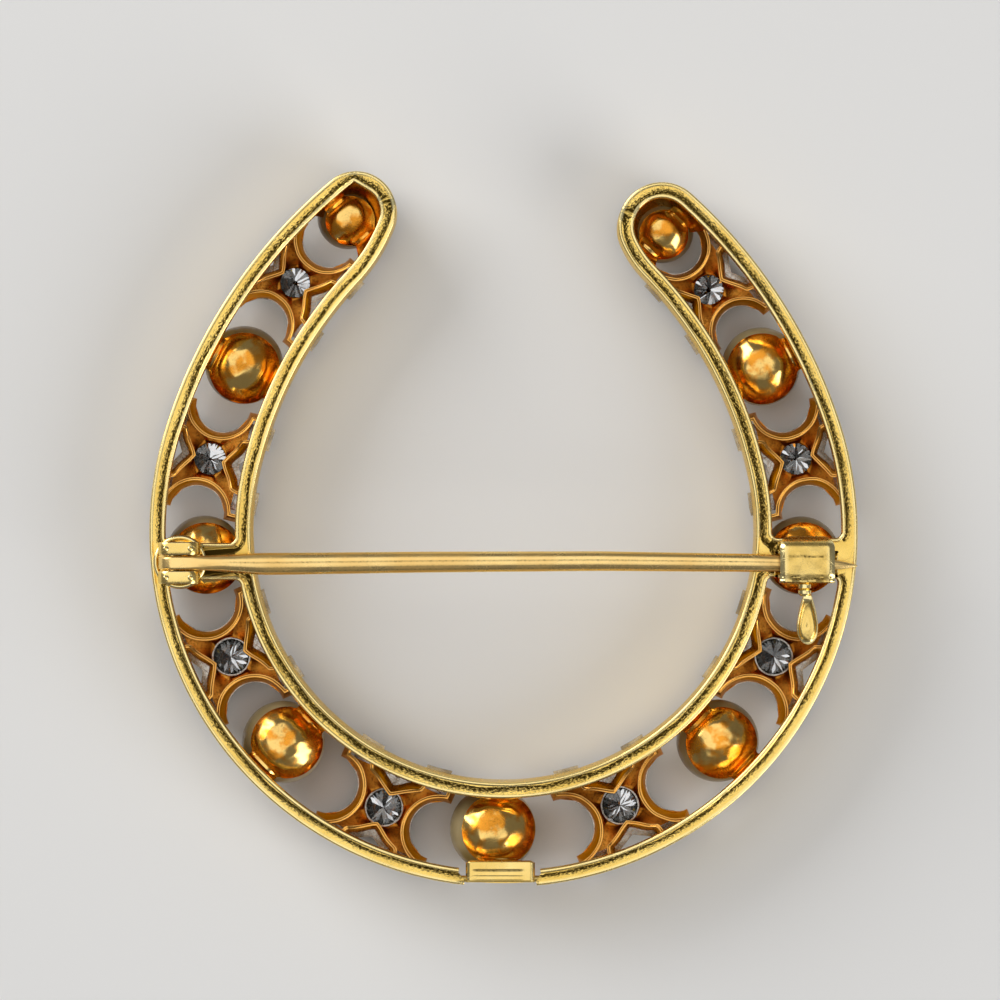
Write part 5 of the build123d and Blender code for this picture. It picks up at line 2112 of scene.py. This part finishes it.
    def build(self, layout: Layout, finishes: Finishes) -> None:
        """Build the cradle and the rolling lever."""
        Piece("catch_cradle", self.cradle(), finishes.fitting, nodes=("gallery",)).build(layout)
        patches = [*self.cover(), *self.neck(), self.leaf()]
        Piece(
            "catch_cover_and_leaf", patches, finishes.fitting, body="catch", nodes=("catch_lever",)
        ).build(layout)


# Folded bail


@dataclass
class Bail:
    """Hinge bar in the gap of the outer rim, with its loop folded down into the wall."""

    x: Point = (-1.89, 1.57)
    y: Point = (-17.47, -16.40)
    z: Point = (4.35, 4.90)
    plate_y: Point = (-17.50, -17.20)
    plate_front: float = 1.75
    eye_z: float = 2.95
    eye_r: float = 0.80
    loop_round: float = 1.384
    lines: tuple[Triple, ...] = (
        (-16.885, 0.050, 0.9),
        (-17.15, 0.016, 0.4),
        (-17.36, 0.020, 0.4),
    )

    def bar(self) -> list[Patch]:
        """Bar with soft edges, end facets lit by a painted highlight, and fine grooves along its
        back darkened by painted shade.
        """
        loop = round_box((self.y[0], self.z[0]), (self.y[1], self.z[1]), (0.12, 0.12, 0.10, 0.12))
        top = loop[:, 1] > self.z[1] - 0.005
        spans = np.sort(loop[top, 0])
        dense = np.linspace(spans[-1], spans[0], 80)
        first = int(np.argmax(loop[:, 0] * top - 100 * ~top))
        rest = np.roll(loop, -first, axis=0)
        rest = rest[rest[:, 1] <= self.z[1] - 0.005]
        loop = np.concatenate([np.stack([dense, np.full(80, self.z[1])], axis=1), rest])
        inset = np.array([0.16, 0.125, 0.05, 0.012, 0.0])
        along = np.array([0.0, 0.02, 0.10, 0.17, 0.24])
        middle = np.linspace(self.x[0] + 0.3, self.x[1] - 0.3, 40)
        x = np.concatenate([self.x[0] + along, middle, self.x[1] - along[::-1]])
        drawn = np.concatenate([inset, np.zeros(40), inset[::-1]])
        section = loop[None] + drawn[:, None, None] * loop_normals(loop)[None]
        points = Axis.X.place(section, x[:, None])
        shade = np.zeros(points.shape[:2])
        begins = 1 / (1 + np.exp(-(x[:, None] - self.x[0] - 0.42) * 30))
        ends = begins / (1 + np.exp((x[:, None] - self.x[1] + 0.62) * 30))
        # Painted shade in the grooves.
        for y, width, depth in self.lines:
            cut = bell(section[..., 0], y, width) * ends * (section[..., 1] > self.z[1] - 0.02)
            points[..., 2] -= 0.035 * depth * cut
            shade = np.maximum(shade, depth * cut)
        # Edge mask: painted highlight on the end facets.
        return capped(points, edge=np.clip(drawn * 14, 0, 1)[:, None], shade=shade)

    def loop_plate(self) -> list[Patch]:
        """Flat loop round the eye: grids between its outline and the eye, front, back and edges."""
        radii = (self.loop_round, self.loop_round, 0.02, 0.02)
        outline = round_box((self.x[0], self.plate_front), (self.x[1], self.z[0] + 0.1), radii, 14)
        centre = np.array([sum(self.x) / 2, self.eye_z])
        ray = outline - centre
        eye = centre + self.eye_r * ray / np.linalg.norm(ray, axis=1, keepdims=True)
        low, high = self.plate_y
        bevel = 0.04
        out, into = loop_normals(outline) * bevel, -(eye - centre) / self.eye_r * bevel
        # Third column: edge mask, a painted highlight on the bevels.
        rows = [
            (outline + out, low, 1.0),
            (outline, low + bevel, 0.5),
            (outline, high - bevel, 0.5),
            (outline + out, high, 1.0),
            (eye - into, high, 1.0),
            (eye, high - bevel, 0.5),
            (eye, low + bevel, 0.5),
            (eye - into, low, 1.0),
        ]
        points, edge = swept(Axis.Y, rows)
        return [Patch(points, closed_rows=True, closed_columns=True, edge=edge)]

    def build(self, layout: Layout, finishes: Finishes) -> bpy.types.Object:
        """Build the bar and its loop as one piece."""
        patches = [*self.bar(), *self.loop_plate()]
        return Piece(
            "folded_bail", patches, finishes.fitting, body="bail", nodes=("pendant_bail",)
        ).build(layout)


# Stage


@dataclass(frozen=True)
class Stage:
    """Pale floor, soft studio lights and the camera."""

    view_centre: Point = (-0.175, 1.650)
    view_width: float = 50.0
    view_level: float = 4.90
    distance: float = 300.0
    sensor: float = 36.0

    def floor(self) -> None:
        """Lay a large pale floor under the brooch."""
        side = np.array([-0.6, 0.0, 0.6])
        x, y = np.meshgrid(side, side, indexing="ij")
        grid = Patch(np.dstack([x, y, 0.0 * x]))
        mesh = bpy.data.meshes.new("floor")
        mesh.from_pydata(grid.flat().tolist(), [], grid.corners().tolist())
        maker = MaterialMaker("pale_floor")
        maker.shine(Base_Color=(0.80, 0.79, 0.77, 1.0), Roughness=0.6)
        mesh.materials.append(maker.material)
        obj = bpy.data.objects.new("floor", mesh)
        bpy.context.scene.collection.objects.link(obj)

    def softbox(self, name: str, place: Triple, size: float, watts: float) -> None:
        """Hang a square soft light that faces the brooch."""
        light = bpy.data.lights.new(name, "AREA")
        light.energy = watts
        light.size = size
        obj = bpy.data.objects.new(name, light)
        obj.location = place
        obj.rotation_euler = (Vector((0, 0, 0)) - Vector(place)).to_track_quat("-Z", "Y").to_euler()
        bpy.context.scene.collection.objects.link(obj)

    def lights(self) -> None:
        """Large soft light overhead, a key to the upper left, a weak fill, a dim world."""
        self.softbox("overhead_softbox", (-0.05, 0.10, 0.62), 0.62, 1.15)
        self.softbox("key_softbox", (-0.42, 0.34, 0.30), 0.44, 2.6)
        self.softbox("fill_softbox", (0.34, -0.22, 0.26), 0.30, 1.0)
        world = bpy.data.worlds.new("soft_studio")
        world.use_nodes = True
        sky = world.node_tree.nodes["Background"].inputs
        sky["Color"].default_value = (0.95, 0.96, 1.0, 1.0)
        sky["Strength"].default_value = 0.17
        bpy.context.scene.world = world
        bpy.context.scene.view_settings.view_transform = "Standard"

    def camera(self, layout: Layout) -> None:
        """Look straight down on the brooch, as the photograph does."""
        camera = bpy.data.cameras.new("photo_camera")
        camera.sensor_width = self.sensor
        camera.lens = self.sensor * self.distance / self.view_width
        obj = bpy.data.objects.new("photo_camera", camera)
        x, y = self.view_centre
        obj.location = Vector(layout.to_scene(np.array([x, y, self.view_level + self.distance])))
        bpy.context.scene.collection.objects.link(obj)
        bpy.context.scene.camera = obj

    def build(self, layout: Layout) -> None:
        """Set the stage."""
        self.camera(layout)
        self.floor()
        self.lights()


def dress_nodes(finishes: Finishes) -> None:
    """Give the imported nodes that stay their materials."""
    for name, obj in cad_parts.items():
        material = finishes.fitting
        if name.startswith("diamond"):
            material = finishes.diamond
        elif name.startswith("pearl"):
            material = finishes.pearl
        elif name.startswith("star_plate"):
            material = finishes.white
        elif name == "pin_stem":
            material = finishes.pin
        obj.data.materials.clear()
        obj.data.materials.append(material)


def main() -> None:
    """Build the scene piece by piece."""
    logging.basicConfig(level=logging.INFO, format="%(name)s: %(message)s")
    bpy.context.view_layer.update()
    band = Band()
    layout = Layout.from_frame(band.outer_r)
    finishes = Finishes.build()
    Stage().build(layout)
    dress_nodes(finishes)
    RimBuilder(band).build(layout, finishes)
    StarBoxes(band).build(layout, finishes)
    Cups(band).build(layout, finishes)
    Pearls().build(layout, finishes)
    hinge = Hinge()
    hinge.build(layout, finishes)
    BroochPin(hinge).build(layout, finishes)
    Catch().build(layout, finishes)
    Bail().build(layout, finishes)


if __name__ == "__main__":
    main()
